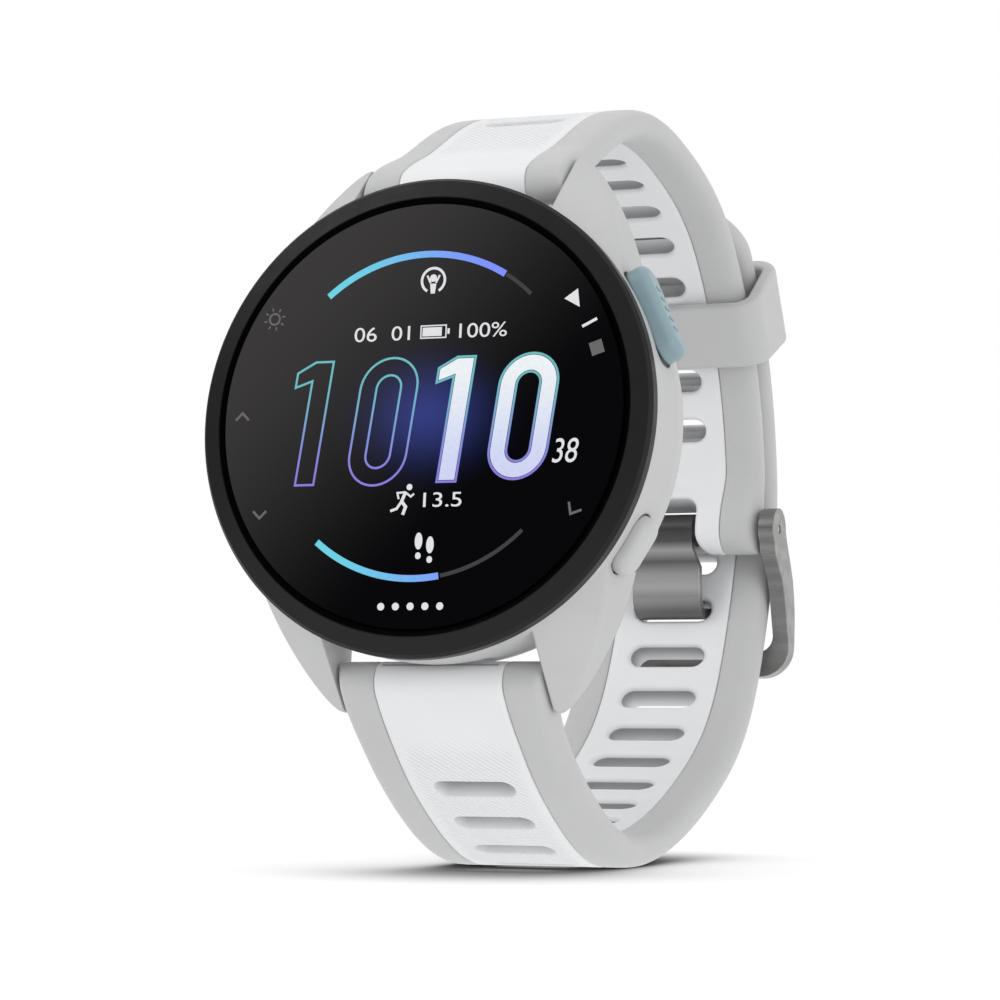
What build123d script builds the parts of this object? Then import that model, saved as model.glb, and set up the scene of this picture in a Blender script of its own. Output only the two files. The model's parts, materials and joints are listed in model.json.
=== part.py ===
"""GPS running watch: round case, five side buttons, two-tone silicone band, pin buckle and keeper.

Frame, in millimetres: the origin is the middle of the lens front. +X points to 3 o'clock, +Z to
12 o'clock and +Y from the screen back into the wrist, so the screen faces -Y. The band is buckled.
"""
from build123d import *
from math import atan2, cos, degrees, radians, sin, sqrt
import os

os.makedirs("parts", exist_ok=True)

# ---------------------------------------------------------------- head: radii and depths behind the lens
lens_radius = 19.0
lens_thickness = 1.2
bezel_radius = 21.5
bezel_gap = 0.05                # round the lens
bezel_back = 1.85
bezel_rim_radius = 19.7         # crest of the bezel's front
bezel_shoulder_depth = 0.8
bezel_ledge_radius = 18.0
bezel_spigot_radius = 20.1
bezel_spigot_back = 2.55
bezel_ledge_back = 2.15
bezel_lens_edge = 0.25          # depth at which the bezel meets the lens
bezel_chamfer = (0.3, 0.45)     # outer corner: across, and its depth
gasket_thickness = 0.1

case_radius = 21.3
case_back = 10.3
case_back_radius = 20.9
case_cavity_radius = 19.0
case_flat = 20.6                # recesses for the spring bars' barrels, from the case's middle
case_lip_depth = 6.4            # the recesses start behind this
case_skirt_depth = 7.8          # where the case starts to narrow towards the wrist
fit_gap = 0.05

cover_seat_depth = 9.2
cover_radius = 20.2
cover_bump_outer_radius = 14.0
cover_bump_radius = 12.0
cover_bump_back = 11.1
cover_wall = 0.9
cover_slope = 0.5               # inside of the bump
cover_groove_half = 0.25
cover_groove_depth = 0.45
cover_gasket_half = 0.22
window_radius = 6.4
window_flange_radius = 7.5
window_flange_thickness = 0.5
window_back = 11.6              # total depth of the head
window_edge = (1.2, 0.1)        # dome of the window: steps in radius and in depth
window_crown = 3.0

screw_circle_radius = 17.5
screw_boss_radius = 1.8
screw_boss_front = 6.7
screw_shank_radius = 0.6
screw_head_radius = 1.25
screw_head_height = 0.6
screw_length = 2.9
screw_socket_radius = 0.6
screw_socket_depth = 0.4
screw_angle = 45

# ---------------------------------------------------------------- lugs and spring bars
bar_y = 8.6
bar_z = 22.7
lug_gap_half = 10.15            # inner faces of a pair of lugs
lug_outline = ((10.15, 25.1), (11.6, 25.9), (16.0, 18.7), (17.0, 12.6))
lug_root = (10.15, 17.8)        # both ends of a lug's outline lie in the case's wall
lug_front = (19.9, 27.6)        # radii of the sloping front face, under the bezel and past the tip
lug_tip_y = 9.9
lug_edge_radius = 0.6
lug_hole_radius = 0.5
lug_hole_depth = 1.1

# ---------------------------------------------------------------- buttons
button_depth = 5.6
button_recess_radius = 20.5
button_seat_radius = 21.05      # underside of a cap at rest
button_gap = 0.15
button_corner = 0.8
stem_radius = 0.9
stem_gap = 0.05
stem_end_radius = 17.85
seal_outer_radius = 1.5
seal_length = 0.7
clip_radius = 1.7
clip_thickness = 0.3
clip_groove = 0.3               # depth of the groove in the stem
clip_mouth_half = 0.5
cap_round = 0.1                 # left straight at a cap's ends
buttons = {                     # angle from 3 o'clock, cap length, cap height, cap face radius
    "start_stop": (25.5, 9.2, 3.4, 22.9),
    "back": (-31, 5.6, 3.4, 22.5),
    "light": (149, 5.6, 3.4, 22.5),
    "up": (180, 5.6, 3.4, 22.5),
    "down": (211, 5.6, 3.4, 22.5),
}

# ---------------------------------------------------------------- inside the head
display_radius = 16.8
display_back = 2.2
mid_frame_front = 2.3
mid_frame_floor = 0.6
mid_frame_radius = 18.35
mid_frame_wall_radius = 17.45
mid_frame_ledge_radius = 16.3
mid_frame_back = 6.0
mid_frame_window_margin = 0.5   # round a switch, at each end
ribbon_margin = 0.2
board_front = 4.0
board_thickness = 0.8
board_radius = 17.2
switch_back = 6.4
switch_length = 4.2
switch_outer_radius = 17.0
switch_inner_radius = 15.3
plunger_radius = 0.6
plunger_end_radius = 17.38
antenna_inner_radius = 18.42
antenna_outer_radius = 18.8
antenna_front = 2.5
antenna_width = 1.4
antenna_angles = (50, 80)       # where it starts, and how far it runs
ribbon_width = 8.0
ribbon_thickness = 0.3
ribbon_z = -15.6
shield_length = 14.0
shield_width = 9.5
shield_corner = 0.8
battery_x = 2.9
battery_length = 18.6
battery_width = 14.8
battery_front = 5.2
battery_back = 8.5
battery_corner = 2.0
battery_rim = 0.5
motor_radius = 4.0
motor_place = (-10.95, 1.5)      # X and Z
motor_length = 2.7
buzzer_radius = 3.2
buzzer_place = (-8.0, -11.6)
buzzer_length = 1.8
pressure_radius = 1.5
pressure_place = (6.0, 12.6)
pressure_length = 1.6
sensor_board_front = 9.0
sensor_board_back = 9.4
sensor_board_radius = 7.2
sensor_lamp_length = 1.5
sensor_lamp_height = 0.3
sensor_lamp_circle = 3.3
sensor_lamp_count = 6
port_z = -17.0
port_length = 6.6
port_width = 3.0
port_front = 8.2
port_back = 9.9
port_corner = 0.55
contact_radius = 0.45
contact_pitch = 1.45
contact_front = 7.8
contact_back = 10.0

# ---------------------------------------------------------------- band
loop_y = 30.0                   # middle of the wrist opening in the side view
loop_z = -1.0
strap_half_width = 9.9
inlay_half_width = 6.2
long_half_thickness = 1.6
short_half_thickness = 1.5
strap_edge_radius = 1.0
barrel_radius = 1.95
barrel_core_radius = 1.45
barrel_bore_radius = 0.95
long_rear_radius = 42.2         # centre line of the long strap up the back
long_arc_angles = (10, 54)
short_rear_radius = 38.0        # centre line of the short strap down the back
short_arc_angles = (50, 12)
long_stations = ((-122, 31.3), (-105, 32.6), (-88, 34.5), (-68, 35.1), (-48, 36.6), (-30, 39.3), (-10, 40.5))
long_joint = 3                  # the station where the long strap's two splines meet
short_stations = ((118, 31.7), (105, 33.0), (90, 34.9), (72, 36.2))
long_departure = (0.63, -0.78)  # directions in which the straps leave their spring bars
short_departure = (0.78, 0.62)
slot_length = 8.8
slot_width = 2.9
slot_pitch = 5.5
buckle_slot_station = 77.4      # the tongue's slot, from the spring bar along the long strap
long_slots_toward_lug = 12
long_slots_toward_tip = 6
short_first_slot = 15.8         # from the spring bar, along the strap
short_slot_count = 11
long_tip_margin = 6.5           # plain end of the long strap beyond its inlay
tip_corner_radius = 7.5

# ---------------------------------------------------------------- spring bars in the straps
tube_radius = 0.88
tube_half_length = 9.6
tube_bore_radius = 0.55
tip_radius = 0.45
tip_reach = 11.1                # end of a tip inside its lug, from the middle
fixed_tip_start = 8.4
release_tip_start = 7.5
knob_x = 8.15
knob_radius = 0.4
knob_length = 2.9
knob_tilt = -35.0               # from +Y towards the wrist opening
window_start = 6.6
window_end = 8.65
window_half_width = 0.6
tube_slot_half_width = 0.46
coil_radius = 0.36
coil_wire_radius = 0.13
coil_turns = 14
coil_start = -8.2
coil_end = 7.3
tip_end_radius = 0.15

# ---------------------------------------------------------------- buckle and keeper
pivot_y = 66.6
pivot_z = 0.4
buckle_barrel_radius = 2.6
pin_radius = 0.75
pin_bore_radius = 0.82
pin_half_length = 10.25
pin_tip_radius = 0.4
pin_tip_reach = 11.9
arm_hole_radius = 0.46
arm_inner = 10.35
arm_outer = 12.0
arm_boss_radius = 2.2
# side view of an arm, as (Y, Z) from the pivot
arm_outer_line = ((1.6, 1.5), (3.4, -1.9), (5.0, -4.4), (6.0, -7.4), (6.3, -10.4), (6.3, -14.9))
arm_inner_line = ((4.6, -14.9), (4.5, -12.4), (3.2, -8.6), (1.3, -4.9), (-1.2, -2.4), (-1.5, -1.6))
end_bar_top = -12.3             # below the pivot
frame_corner_radius = 3.2
frame_opening_radius = 1.8
tongue_root_half = 2.9
tongue_half = 3.7
tongue_flare = (2.0, 3.9)       # below the pivot, where the root widens
tongue_thickness = 0.9
tongue_eye_radius = 1.75
tongue_notch_half = 3.3
tongue_notch_radius = 2.75
tongue_heading = -82.0          # of the plate below the pivot, in the side view
tongue_bend_radius = 1.9
tongue_stud_turn = 10.0
keeper_angle = 35.5             # about the middle of the wrist opening
keeper_width = 8.2
keeper_wall = 1.5
keeper_gap = 0.25
keeper_outer_half = 11.9
keeper_corner = 1.6
keeper_opening_corner = 0.3


# ---------------------------------------------------------------- shared shapes
def back_plane(depth):
    """Plane parallel to the screen; extruding by a negative amount goes away from the screen."""
    return Plane.XZ.offset(-depth)


def disc(radius, front, back, place=(0.0, 0.0)):
    """Round plate or block between two depths."""
    with BuildPart() as block:
        with BuildSketch(back_plane(front)):
            with Locations(place):
                Circle(radius)
        extrude(amount=front - back)
    return block.part


def ring(inner_radius, outer_radius, front, back):
    """Flat ring between two depths."""
    with BuildPart() as band:
        with BuildSketch(back_plane(front)):
            Circle(outer_radius)
            Circle(inner_radius, mode=Mode.SUBTRACT)
        extrude(amount=front - back)
    return band.part


def spun(profile):
    """Solid of revolution about the watch's axis, from (radius, depth) corners."""
    with BuildPart() as turned:
        with BuildSketch(Plane.XY):
            with BuildLine():
                Polyline(*profile, close=True)
            make_face()
        revolve(axis=Axis.Y)
    return turned.part


def save(piece, label):
    """Name a finished piece and write it."""
    piece.label = label
    export_step(piece, f"parts/{label}.step")


def button_plane(angle, radius):
    """Plane square to a button's axis: local x runs round the case, local y towards the screen."""
    turn = radians(angle)
    outward = Vector(cos(turn), 0, sin(turn))
    around = Vector(-sin(turn), 0, cos(turn))
    return Plane(outward * radius + Vector(0, button_depth, 0), x_dir=around, z_dir=outward)


def loop_point(radius, angle):
    """(Y, Z) of a point of the band's side view, from the middle of the wrist opening."""
    turn = radians(angle)
    return (loop_y + radius * cos(turn), loop_z + radius * sin(turn))


def strap_plane(path, distance):
    """Plane tangent to a strap's centre line; local x is +X and local z its outward or inward normal."""
    share = distance / path.length
    here = path.position_at(share)
    along = path.tangent_at(share)
    return Plane((0, here.X, here.Y), x_dir=(1, 0, 0), z_dir=(0, -along.Y, along.X))


# ---------------------------------------------------------------- case with lugs
with BuildPart() as lug:
    with BuildSketch(Plane.XZ):
        with BuildLine():
            outer_side = Bezier(*lug_outline)
            Polyline(outer_side @ 1, lug_root, outer_side @ 0)
        make_face()
    extrude(amount=-case_back)
    front_face = spun((
        (0, bezel_back),
        (lug_front[0], bezel_back),
        (lug_front[1], lug_tip_y),
        (lug_front[1], case_back),
        (0, case_back),
    ))
    add(front_face, mode=Mode.INTERSECT)
    fillet(lug.edges().filter_by(GeomType.BSPLINE), lug_edge_radius)

case_shell = spun((
    (case_cavity_radius, bezel_spigot_back + fit_gap),
    (bezel_spigot_radius + fit_gap, bezel_spigot_back + fit_gap),
    (bezel_spigot_radius + fit_gap, bezel_back),
    (case_radius, bezel_back),
    (case_radius, case_skirt_depth),
    (case_back_radius, case_back),
    (cover_radius + fit_gap, case_back),
    (cover_radius + fit_gap, cover_seat_depth),
    (case_cavity_radius, cover_seat_depth),
))

with BuildPart() as case_body:
    add(case_shell)
    for side in (lug.part, lug.part.mirror(Plane.YZ)):
        add(side)
        add(side.mirror(Plane.XY))
    with BuildSketch(back_plane(bezel_spigot_back)):
        Circle(case_cavity_radius)
    extrude(amount=bezel_spigot_back - case_back, mode=Mode.SUBTRACT)
    with BuildSketch(back_plane(cover_seat_depth)):
        Circle(cover_radius + fit_gap)
    extrude(amount=cover_seat_depth - case_back, mode=Mode.SUBTRACT)
    for side in (1, -1):
        with BuildSketch(Plane.XY.offset(side * case_flat)):
            with Locations((0, (case_lip_depth + case_back) / 2)):
                Rectangle(2 * lug_gap_half, case_back - case_lip_depth)
        extrude(amount=side * case_back, mode=Mode.SUBTRACT)
        with BuildSketch(Plane.YZ.offset(side * lug_gap_half)):
            with Locations((bar_y, bar_z), (bar_y, -bar_z)):
                Circle(lug_hole_radius)
        extrude(amount=side * lug_hole_depth, mode=Mode.SUBTRACT)
    for angle, length, height, face_radius in buttons.values():
        with BuildSketch(button_plane(angle, button_recess_radius)):
            RectangleRounded(length + 2 * button_gap, height + 2 * button_gap, height / 2)
        extrude(amount=case_back, mode=Mode.SUBTRACT)
        with BuildSketch(button_plane(angle, stem_end_radius)):
            Circle(stem_radius + stem_gap)
        extrude(amount=case_back, mode=Mode.SUBTRACT)
        with BuildSketch(button_plane(angle, stem_end_radius)):
            Circle(seal_outer_radius)
        extrude(amount=case_cavity_radius + seal_length - stem_end_radius, mode=Mode.SUBTRACT)
    with BuildSketch(back_plane(screw_boss_front)):
        with PolarLocations(screw_circle_radius, 4, start_angle=screw_angle):
            Circle(screw_boss_radius)
    extrude(amount=screw_boss_front - cover_seat_depth)
    with BuildSketch(back_plane(screw_boss_front)):
        with PolarLocations(screw_circle_radius, 4, start_angle=screw_angle):
            Circle(screw_shank_radius)
    extrude(amount=screw_boss_front - cover_seat_depth, mode=Mode.SUBTRACT)
    groove_middle = (case_cavity_radius + cover_radius) / 2
    with BuildSketch(back_plane(cover_seat_depth)):
        Circle(groove_middle + cover_groove_half)
        Circle(groove_middle - cover_groove_half, mode=Mode.SUBTRACT)
    extrude(amount=cover_groove_depth, mode=Mode.SUBTRACT)
save(case_body.part, "case_body")

# ---------------------------------------------------------------- bezel, lens and their gasket
bezel = spun((
    (lens_radius + bezel_gap, bezel_lens_edge),
    (bezel_rim_radius, 0.0),
    (bezel_radius - bezel_chamfer[0], bezel_chamfer[1]),
    (bezel_radius, bezel_shoulder_depth),
    (bezel_radius, bezel_back),
    (bezel_spigot_radius, bezel_back),
    (bezel_spigot_radius, bezel_spigot_back),
    (bezel_ledge_radius, bezel_ledge_back),
    (bezel_ledge_radius, lens_thickness + gasket_thickness),
    (lens_radius + bezel_gap, lens_thickness + gasket_thickness),
))
save(bezel, "bezel")
save(disc(lens_radius, 0.0, lens_thickness), "lens")
gasket = ring(bezel_ledge_radius, lens_radius, lens_thickness, lens_thickness + gasket_thickness)
save(gasket, "lens_gasket")

# ---------------------------------------------------------------- display and its ribbon
save(disc(display_radius, lens_thickness, display_back), "display_panel")
with BuildPart() as display_ribbon:
    with BuildSketch(back_plane(display_back)):
        with Locations((0, ribbon_z)):
            Rectangle(ribbon_width, ribbon_thickness)
    extrude(amount=display_back - board_front)
save(display_ribbon.part, "display_ribbon")

# ---------------------------------------------------------------- mid frame, antenna and board
floor_back = mid_frame_front + mid_frame_floor
mid_frame_shell = spun((
    (0.0, mid_frame_front),
    (mid_frame_radius, mid_frame_front),
    (mid_frame_radius, mid_frame_back),
    (mid_frame_wall_radius, mid_frame_back),
    (mid_frame_wall_radius, board_front),
    (mid_frame_ledge_radius, board_front),
    (mid_frame_ledge_radius, floor_back),
    (0.0, floor_back),
))
with BuildPart() as mid_frame:
    add(mid_frame_shell)
    with BuildSketch(back_plane(mid_frame_front)):
        with Locations((0, ribbon_z)):
            Rectangle(ribbon_width + 2 * ribbon_margin, ribbon_thickness + 2 * ribbon_margin)
    extrude(amount=-mid_frame_floor, mode=Mode.SUBTRACT)
    for angle, length, height, face_radius in buttons.values():
        with BuildSketch(button_plane(angle, switch_outer_radius)):
            Rectangle(switch_length + 2 * mid_frame_window_margin, 2 * clip_radius + ribbon_margin)
        extrude(amount=mid_frame_back, mode=Mode.SUBTRACT)
save(mid_frame.part, "mid_frame")

with BuildPart() as gps_antenna:
    with BuildSketch(back_plane(antenna_front)):
        with BuildLine():
            outer_arc = CenterArc((0, 0), antenna_outer_radius, *antenna_angles)
            inner_arc = CenterArc((0, 0), antenna_inner_radius, *antenna_angles)
            Line(outer_arc @ 0, inner_arc @ 0)
            Line(outer_arc @ 1, inner_arc @ 1)
        make_face()
    extrude(amount=-antenna_width)
save(gps_antenna.part, "gps_antenna")

board_back = board_front + board_thickness
save(disc(board_radius, board_front, board_back), "main_board")
with BuildPart() as board_shield:
    with BuildSketch(back_plane(floor_back + fit_gap)):
        Rectangle(shield_length, shield_width)
    extrude(amount=floor_back + fit_gap - board_front)
    fillet(board_shield.edges().filter_by(Axis.Y), shield_corner)
save(board_shield.part, "board_shield")

# ---------------------------------------------------------------- battery, motor, buzzer and sensors
with BuildPart() as battery:
    with BuildSketch(back_plane(battery_front)):
        with Locations((battery_x, 0)):
            Rectangle(battery_length, battery_width)
    extrude(amount=battery_front - battery_back)
    fillet(battery.edges().filter_by(Axis.Y), battery_corner)
    fillet(battery.edges().group_by(Axis.Y)[-1], battery_rim)
save(battery.part, "battery")
motor = disc(motor_radius, board_back, board_back + motor_length, motor_place)
save(motor, "vibration_motor")
buzzer = disc(buzzer_radius, board_back, board_back + buzzer_length, buzzer_place)
save(buzzer, "buzzer")
barometer = disc(pressure_radius, board_back, board_back + pressure_length, pressure_place)
save(barometer, "pressure_sensor")
sensor_board = disc(sensor_board_radius, sensor_board_front, sensor_board_back)
save(sensor_board, "sensor_board")
with BuildPart() as sensor_lamps:
    with BuildSketch(back_plane(sensor_board_back)):
        with PolarLocations(sensor_lamp_circle, sensor_lamp_count):
            Rectangle(sensor_lamp_length, sensor_lamp_length)
    extrude(amount=-sensor_lamp_height)
save(sensor_lamps.part, "sensor_lamps")

# ---------------------------------------------------------------- rear cover, window, port and screws
cover_shell = spun((
    (window_radius + fit_gap, cover_bump_back),
    (cover_bump_radius, cover_bump_back),
    (cover_bump_outer_radius, case_back),
    (cover_radius, case_back),
    (cover_radius, cover_seat_depth),
    (cover_bump_radius, cover_seat_depth),
    (cover_bump_radius - cover_slope, cover_bump_back - cover_wall),
    (window_radius + fit_gap, cover_bump_back - cover_wall),
))
with BuildPart() as rear_cover:
    add(cover_shell)
    with BuildSketch(back_plane(cover_seat_depth)):
        with Locations((0, port_z)):
            RectangleRounded(port_length + 2 * fit_gap, port_width + 2 * fit_gap, port_corner + fit_gap)
        with PolarLocations(screw_circle_radius, 4, start_angle=screw_angle):
            Circle(screw_shank_radius + fit_gap)
    extrude(amount=cover_seat_depth - case_back, mode=Mode.SUBTRACT)
    with BuildSketch(back_plane(case_back - screw_head_height)):
        with PolarLocations(screw_circle_radius, 4, start_angle=screw_angle):
            Circle(screw_head_radius + fit_gap)
    extrude(amount=-screw_head_height, mode=Mode.SUBTRACT)
save(rear_cover.part, "rear_cover")
cover_gasket = ring(
    groove_middle - cover_gasket_half,
    groove_middle + cover_gasket_half,
    cover_seat_depth - cover_groove_depth,
    cover_seat_depth,
)
save(cover_gasket, "rear_cover_gasket")

cover_inner = cover_bump_back - cover_wall
sensor_window = spun((
    (0.0, cover_inner - window_flange_thickness),
    (window_flange_radius, cover_inner - window_flange_thickness),
    (window_flange_radius, cover_inner),
    (window_radius, cover_inner),
    (window_radius, cover_bump_back + window_edge[1]),
    (window_radius - window_edge[0], window_back - window_edge[1]),
    (window_radius - window_crown, window_back),
    (0.0, window_back),
))
save(sensor_window, "sensor_window")

with BuildPart() as rear_cover_screws:
    with BuildSketch(back_plane(case_back - screw_head_height)):
        with PolarLocations(screw_circle_radius, 4, start_angle=screw_angle):
            Circle(screw_head_radius)
    extrude(amount=-screw_head_height)
    with BuildSketch(back_plane(case_back - screw_head_height)):
        with PolarLocations(screw_circle_radius, 4, start_angle=screw_angle):
            Circle(screw_shank_radius)
    extrude(amount=screw_length - screw_head_height)
    with BuildSketch(back_plane(case_back)):
        with PolarLocations(screw_circle_radius, 4, start_angle=screw_angle):
            RegularPolygon(screw_socket_radius, 6)
    extrude(amount=screw_socket_depth, mode=Mode.SUBTRACT)
save(rear_cover_screws.part, "rear_cover_screws")

with BuildPart() as charge_port:
    with BuildSketch(back_plane(port_front)):
        with Locations((0, port_z)):
            RectangleRounded(port_length, port_width, port_corner)
    extrude(amount=port_front - port_back)
    with BuildSketch(back_plane(port_front)):
        with Locations((0, port_z)):
            with GridLocations(contact_pitch, 0, 4, 1):
                Circle(contact_radius)
    extrude(amount=port_front - port_back, mode=Mode.SUBTRACT)
save(charge_port.part, "charge_port")
with BuildPart() as charge_contacts:
    with BuildSketch(back_plane(contact_front)):
        with Locations((0, port_z)):
            with GridLocations(contact_pitch, 0, 4, 1):
                Circle(contact_radius)
    extrude(amount=contact_front - contact_back)
save(charge_contacts.part, "charge_contacts")

# ---------------------------------------------------------------- side switches and button seals
with BuildPart() as side_switches:
    for angle, length, height, face_radius in buttons.values():
        with BuildSketch(button_plane(angle, switch_inner_radius)):
            Rectangle(switch_length, switch_back - board_back)
        extrude(amount=switch_outer_radius - switch_inner_radius)
        with BuildSketch(button_plane(angle, switch_outer_radius)):
            Circle(plunger_radius)
        extrude(amount=plunger_end_radius - switch_outer_radius)
save(side_switches.part, "side_switches")

with BuildPart() as button_seals:
    for angle, length, height, face_radius in buttons.values():
        with BuildSketch(button_plane(angle, case_cavity_radius + gasket_thickness)):
            Circle(seal_outer_radius)
            Circle(stem_radius + stem_gap, mode=Mode.SUBTRACT)
        extrude(amount=seal_length - gasket_thickness)
save(button_seals.part, "button_seals")

# ---------------------------------------------------------------- buttons, each with its retaining clip
for name, (angle, length, height, face_radius) in buttons.items():
    with BuildPart() as button:
        with BuildSketch(button_plane(angle, button_seat_radius)):
            RectangleRounded(length, height, height / 2 - cap_round)
        extrude(amount=face_radius - button_seat_radius)
        outward = Axis((0, 0, 0), button_plane(angle, 1).z_dir)
        fillet(button.faces().sort_by(outward)[-1].edges(), button_corner)
        with BuildSketch(button_plane(angle, stem_end_radius)):
            Circle(stem_radius)
        extrude(amount=button_seat_radius - stem_end_radius)
        with BuildSketch(button_plane(angle, case_cavity_radius - fit_gap - clip_thickness)):
            Circle(stem_radius)
            Circle(stem_radius - clip_groove, mode=Mode.SUBTRACT)
        extrude(amount=clip_thickness, mode=Mode.SUBTRACT)
    save(button.part, f"{name}_button")
    with BuildPart() as clip:
        with BuildSketch(button_plane(angle, case_cavity_radius - fit_gap - clip_thickness)):
            Circle(clip_radius)
            Circle(stem_radius - clip_groove, mode=Mode.SUBTRACT)
            with Locations((0, clip_radius)):
                Rectangle(2 * clip_mouth_half, 2 * clip_radius, mode=Mode.SUBTRACT)
        extrude(amount=clip_thickness)
    save(clip.part, f"{name}_clip")

# ---------------------------------------------------------------- centre lines of the two straps
def rear_arc(radius, angles):
    """Arc up or down the back of the band, about the middle of the wrist opening."""
    start, end = angles
    middle = (start + end) / 2
    return ThreePointArc(loop_point(radius, start), loop_point(radius, middle), loop_point(radius, end))


def long_curve(shift):
    """Side-view line of the long strap, moved outward from its centre line; returns its two ends."""
    arc = rear_arc(long_rear_radius + shift, long_arc_angles)
    start = Vector(bar_y, -bar_z) + Vector(long_departure[1], -long_departure[0]) * shift
    points = [Vector(loop_point(radius + shift, angle)) for angle, radius in long_stations]
    joint_way = points[long_joint + 1] - points[long_joint - 1]
    Spline(start, *points[:long_joint + 1], tangents=[long_departure, joint_way])
    Spline(*points[long_joint:], arc @ 0, tangents=[joint_way, arc % 0])
    return start, arc @ 1


def short_curve(shift):
    """The same for the short strap, which ends at the buckle's pin."""
    arc = rear_arc(short_rear_radius + shift, short_arc_angles)
    start = Vector(bar_y, bar_z) + Vector(-short_departure[1], short_departure[0]) * shift
    points = [loop_point(radius + shift, angle) for angle, radius in short_stations]
    Spline(start, *points, arc @ 0, tangents=[short_departure, arc % 0])
    end = Vector(pivot_y + shift, pivot_z)
    Spline(arc @ 1, end, tangents=[arc % 1, (0, -1)])
    return start, end


with BuildLine() as long_line:
    long_curve(0)
long_path = long_line.wires()[0]
with BuildLine() as short_line:
    short_curve(0)
short_path = short_line.wires()[0]


def strap_blank(curve, half_thickness, barrels):
    """Whole strap before it is divided into rails and inlay, with its barrels and softened edges."""
    with BuildPart() as blank:
        with BuildSketch(Plane.YZ):
            with BuildLine():
                outer_start, outer_end = curve(half_thickness)
                inner_start, inner_end = curve(-half_thickness)
                Line(outer_start, inner_start)
                Line(outer_end, inner_end)
            make_face()
            for place, radius in barrels:
                with Locations(place):
                    Circle(radius)
        extrude(amount=strap_half_width, both=True)
        rim = blank.faces().filter_by(Axis.X).edges()
        fillet(rim, strap_edge_radius)
    return blank.part


long_blank = strap_blank(long_curve, long_half_thickness, [((bar_y, -bar_z), barrel_radius)])
short_blank = strap_blank(
    short_curve,
    short_half_thickness,
    [((bar_y, bar_z), barrel_radius), ((pivot_y, pivot_z), buckle_barrel_radius)],
)

# ---------------------------------------------------------------- stations of the slots
long_slot_steps = range(-long_slots_toward_lug, long_slots_toward_tip + 1)
long_slot_stations = [buckle_slot_station + slot_pitch * step for step in long_slot_steps]
short_slot_stations = [short_first_slot + slot_pitch * step for step in range(short_slot_count)]


# ---------------------------------------------------------------- openings through a whole strap
def bar_plane(side):
    """Plane at a spring bar, with z along the release knob; side is 1 at 12 o'clock, -1 at 6 o'clock."""
    tilt = radians(knob_tilt)
    return Plane((0, bar_y, side * bar_z), x_dir=(1, 0, 0), z_dir=(0, cos(tilt), side * sin(tilt)))


with BuildPart() as long_whole:
    add(long_blank)
    with BuildSketch(Plane.YZ):
        with Locations((bar_y, -bar_z)):
            Circle(barrel_bore_radius)
    extrude(amount=strap_half_width, both=True, mode=Mode.SUBTRACT)
    with BuildSketch(bar_plane(-1)):
        with Locations(((window_start + window_end) / 2, 0)):
            Rectangle(window_end - window_start, 2 * window_half_width)
    extrude(amount=2 * barrel_radius, mode=Mode.SUBTRACT)
    with BuildSketch(strap_plane(long_path, long_path.length - tip_corner_radius)):
        with Locations((0, tip_corner_radius)):
            Rectangle(3 * strap_half_width, 2 * tip_corner_radius)
        Ellipse(strap_half_width, tip_corner_radius, mode=Mode.SUBTRACT)
    extrude(amount=3 * long_half_thickness, both=True, mode=Mode.SUBTRACT)

with BuildPart() as short_whole:
    add(short_blank)
    with BuildSketch(Plane.YZ):
        with Locations((bar_y, bar_z)):
            Circle(barrel_bore_radius)
        with Locations((pivot_y, pivot_z)):
            Circle(pin_bore_radius)
    extrude(amount=strap_half_width, both=True, mode=Mode.SUBTRACT)
    with BuildSketch(bar_plane(1)):
        with Locations(((window_start + window_end) / 2, 0)):
            Rectangle(window_end - window_start, 2 * window_half_width)
    extrude(amount=2 * barrel_radius, mode=Mode.SUBTRACT)
    with BuildSketch(Plane.YZ):
        with Locations((pivot_y, pivot_z)):
            Circle(tongue_notch_radius)
            with Locations((0, -tongue_notch_radius)):
                Rectangle(4 * tongue_notch_radius, 2 * tongue_notch_radius)
    extrude(amount=tongue_notch_half, both=True, mode=Mode.SUBTRACT)


# ---------------------------------------------------------------- straps: grey rails and white inlay
def inlay_of(whole, path, barrel_places, inlay_end):
    """White middle of a strap: full thickness, between the rails, clear of the rails' barrel sleeves."""
    here = path.position_at(inlay_end / path.length)
    along = path.tangent_at(inlay_end / path.length)
    with BuildPart() as core:
        add(whole)
        with BuildSketch(Plane.YZ.offset(-inlay_half_width)):
            with Locations((loop_y, loop_z)):
                Circle(2 * long_rear_radius)
        extrude(amount=2 * inlay_half_width, mode=Mode.INTERSECT)
        with BuildSketch(Plane.YZ):
            with Locations(*barrel_places):
                Circle(barrel_core_radius)
        extrude(amount=inlay_half_width, both=True, mode=Mode.SUBTRACT)
        with BuildSketch(Plane((0, here.X, here.Y), x_dir=(1, 0, 0), z_dir=(0, along.X, along.Y))):
            Rectangle(3 * inlay_half_width, 4 * long_half_thickness)
        extrude(amount=2 * long_tip_margin, mode=Mode.SUBTRACT)
    return core.part


def save_strap(label, whole, core, path, slot_stations):
    """Write a strap's rails and its slotted inlay, which meet on the inlay's faces."""
    with BuildPart() as rails:
        add(whole)
        add(core, mode=Mode.SUBTRACT)
    with BuildPart() as inlay:
        add(core)
        for station in slot_stations:
            with BuildSketch(strap_plane(path, station)):
                SlotOverall(slot_length, slot_width)
            extrude(amount=2 * long_half_thickness, both=True, mode=Mode.SUBTRACT)
    save(rails.part, f"{label}_rails")
    save(inlay.part, f"{label}_inlay")


long_core = inlay_of(long_whole.part, long_path, [(bar_y, -bar_z)], long_path.length - long_tip_margin)
save_strap("long_strap", long_whole.part, long_core, long_path, long_slot_stations)
short_barrels = [(bar_y, bar_z), (pivot_y, pivot_z)]
short_core = inlay_of(short_whole.part, short_path, short_barrels, short_path.length + barrel_radius)
save_strap("short_strap", short_whole.part, short_core, short_path, short_slot_stations)


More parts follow.
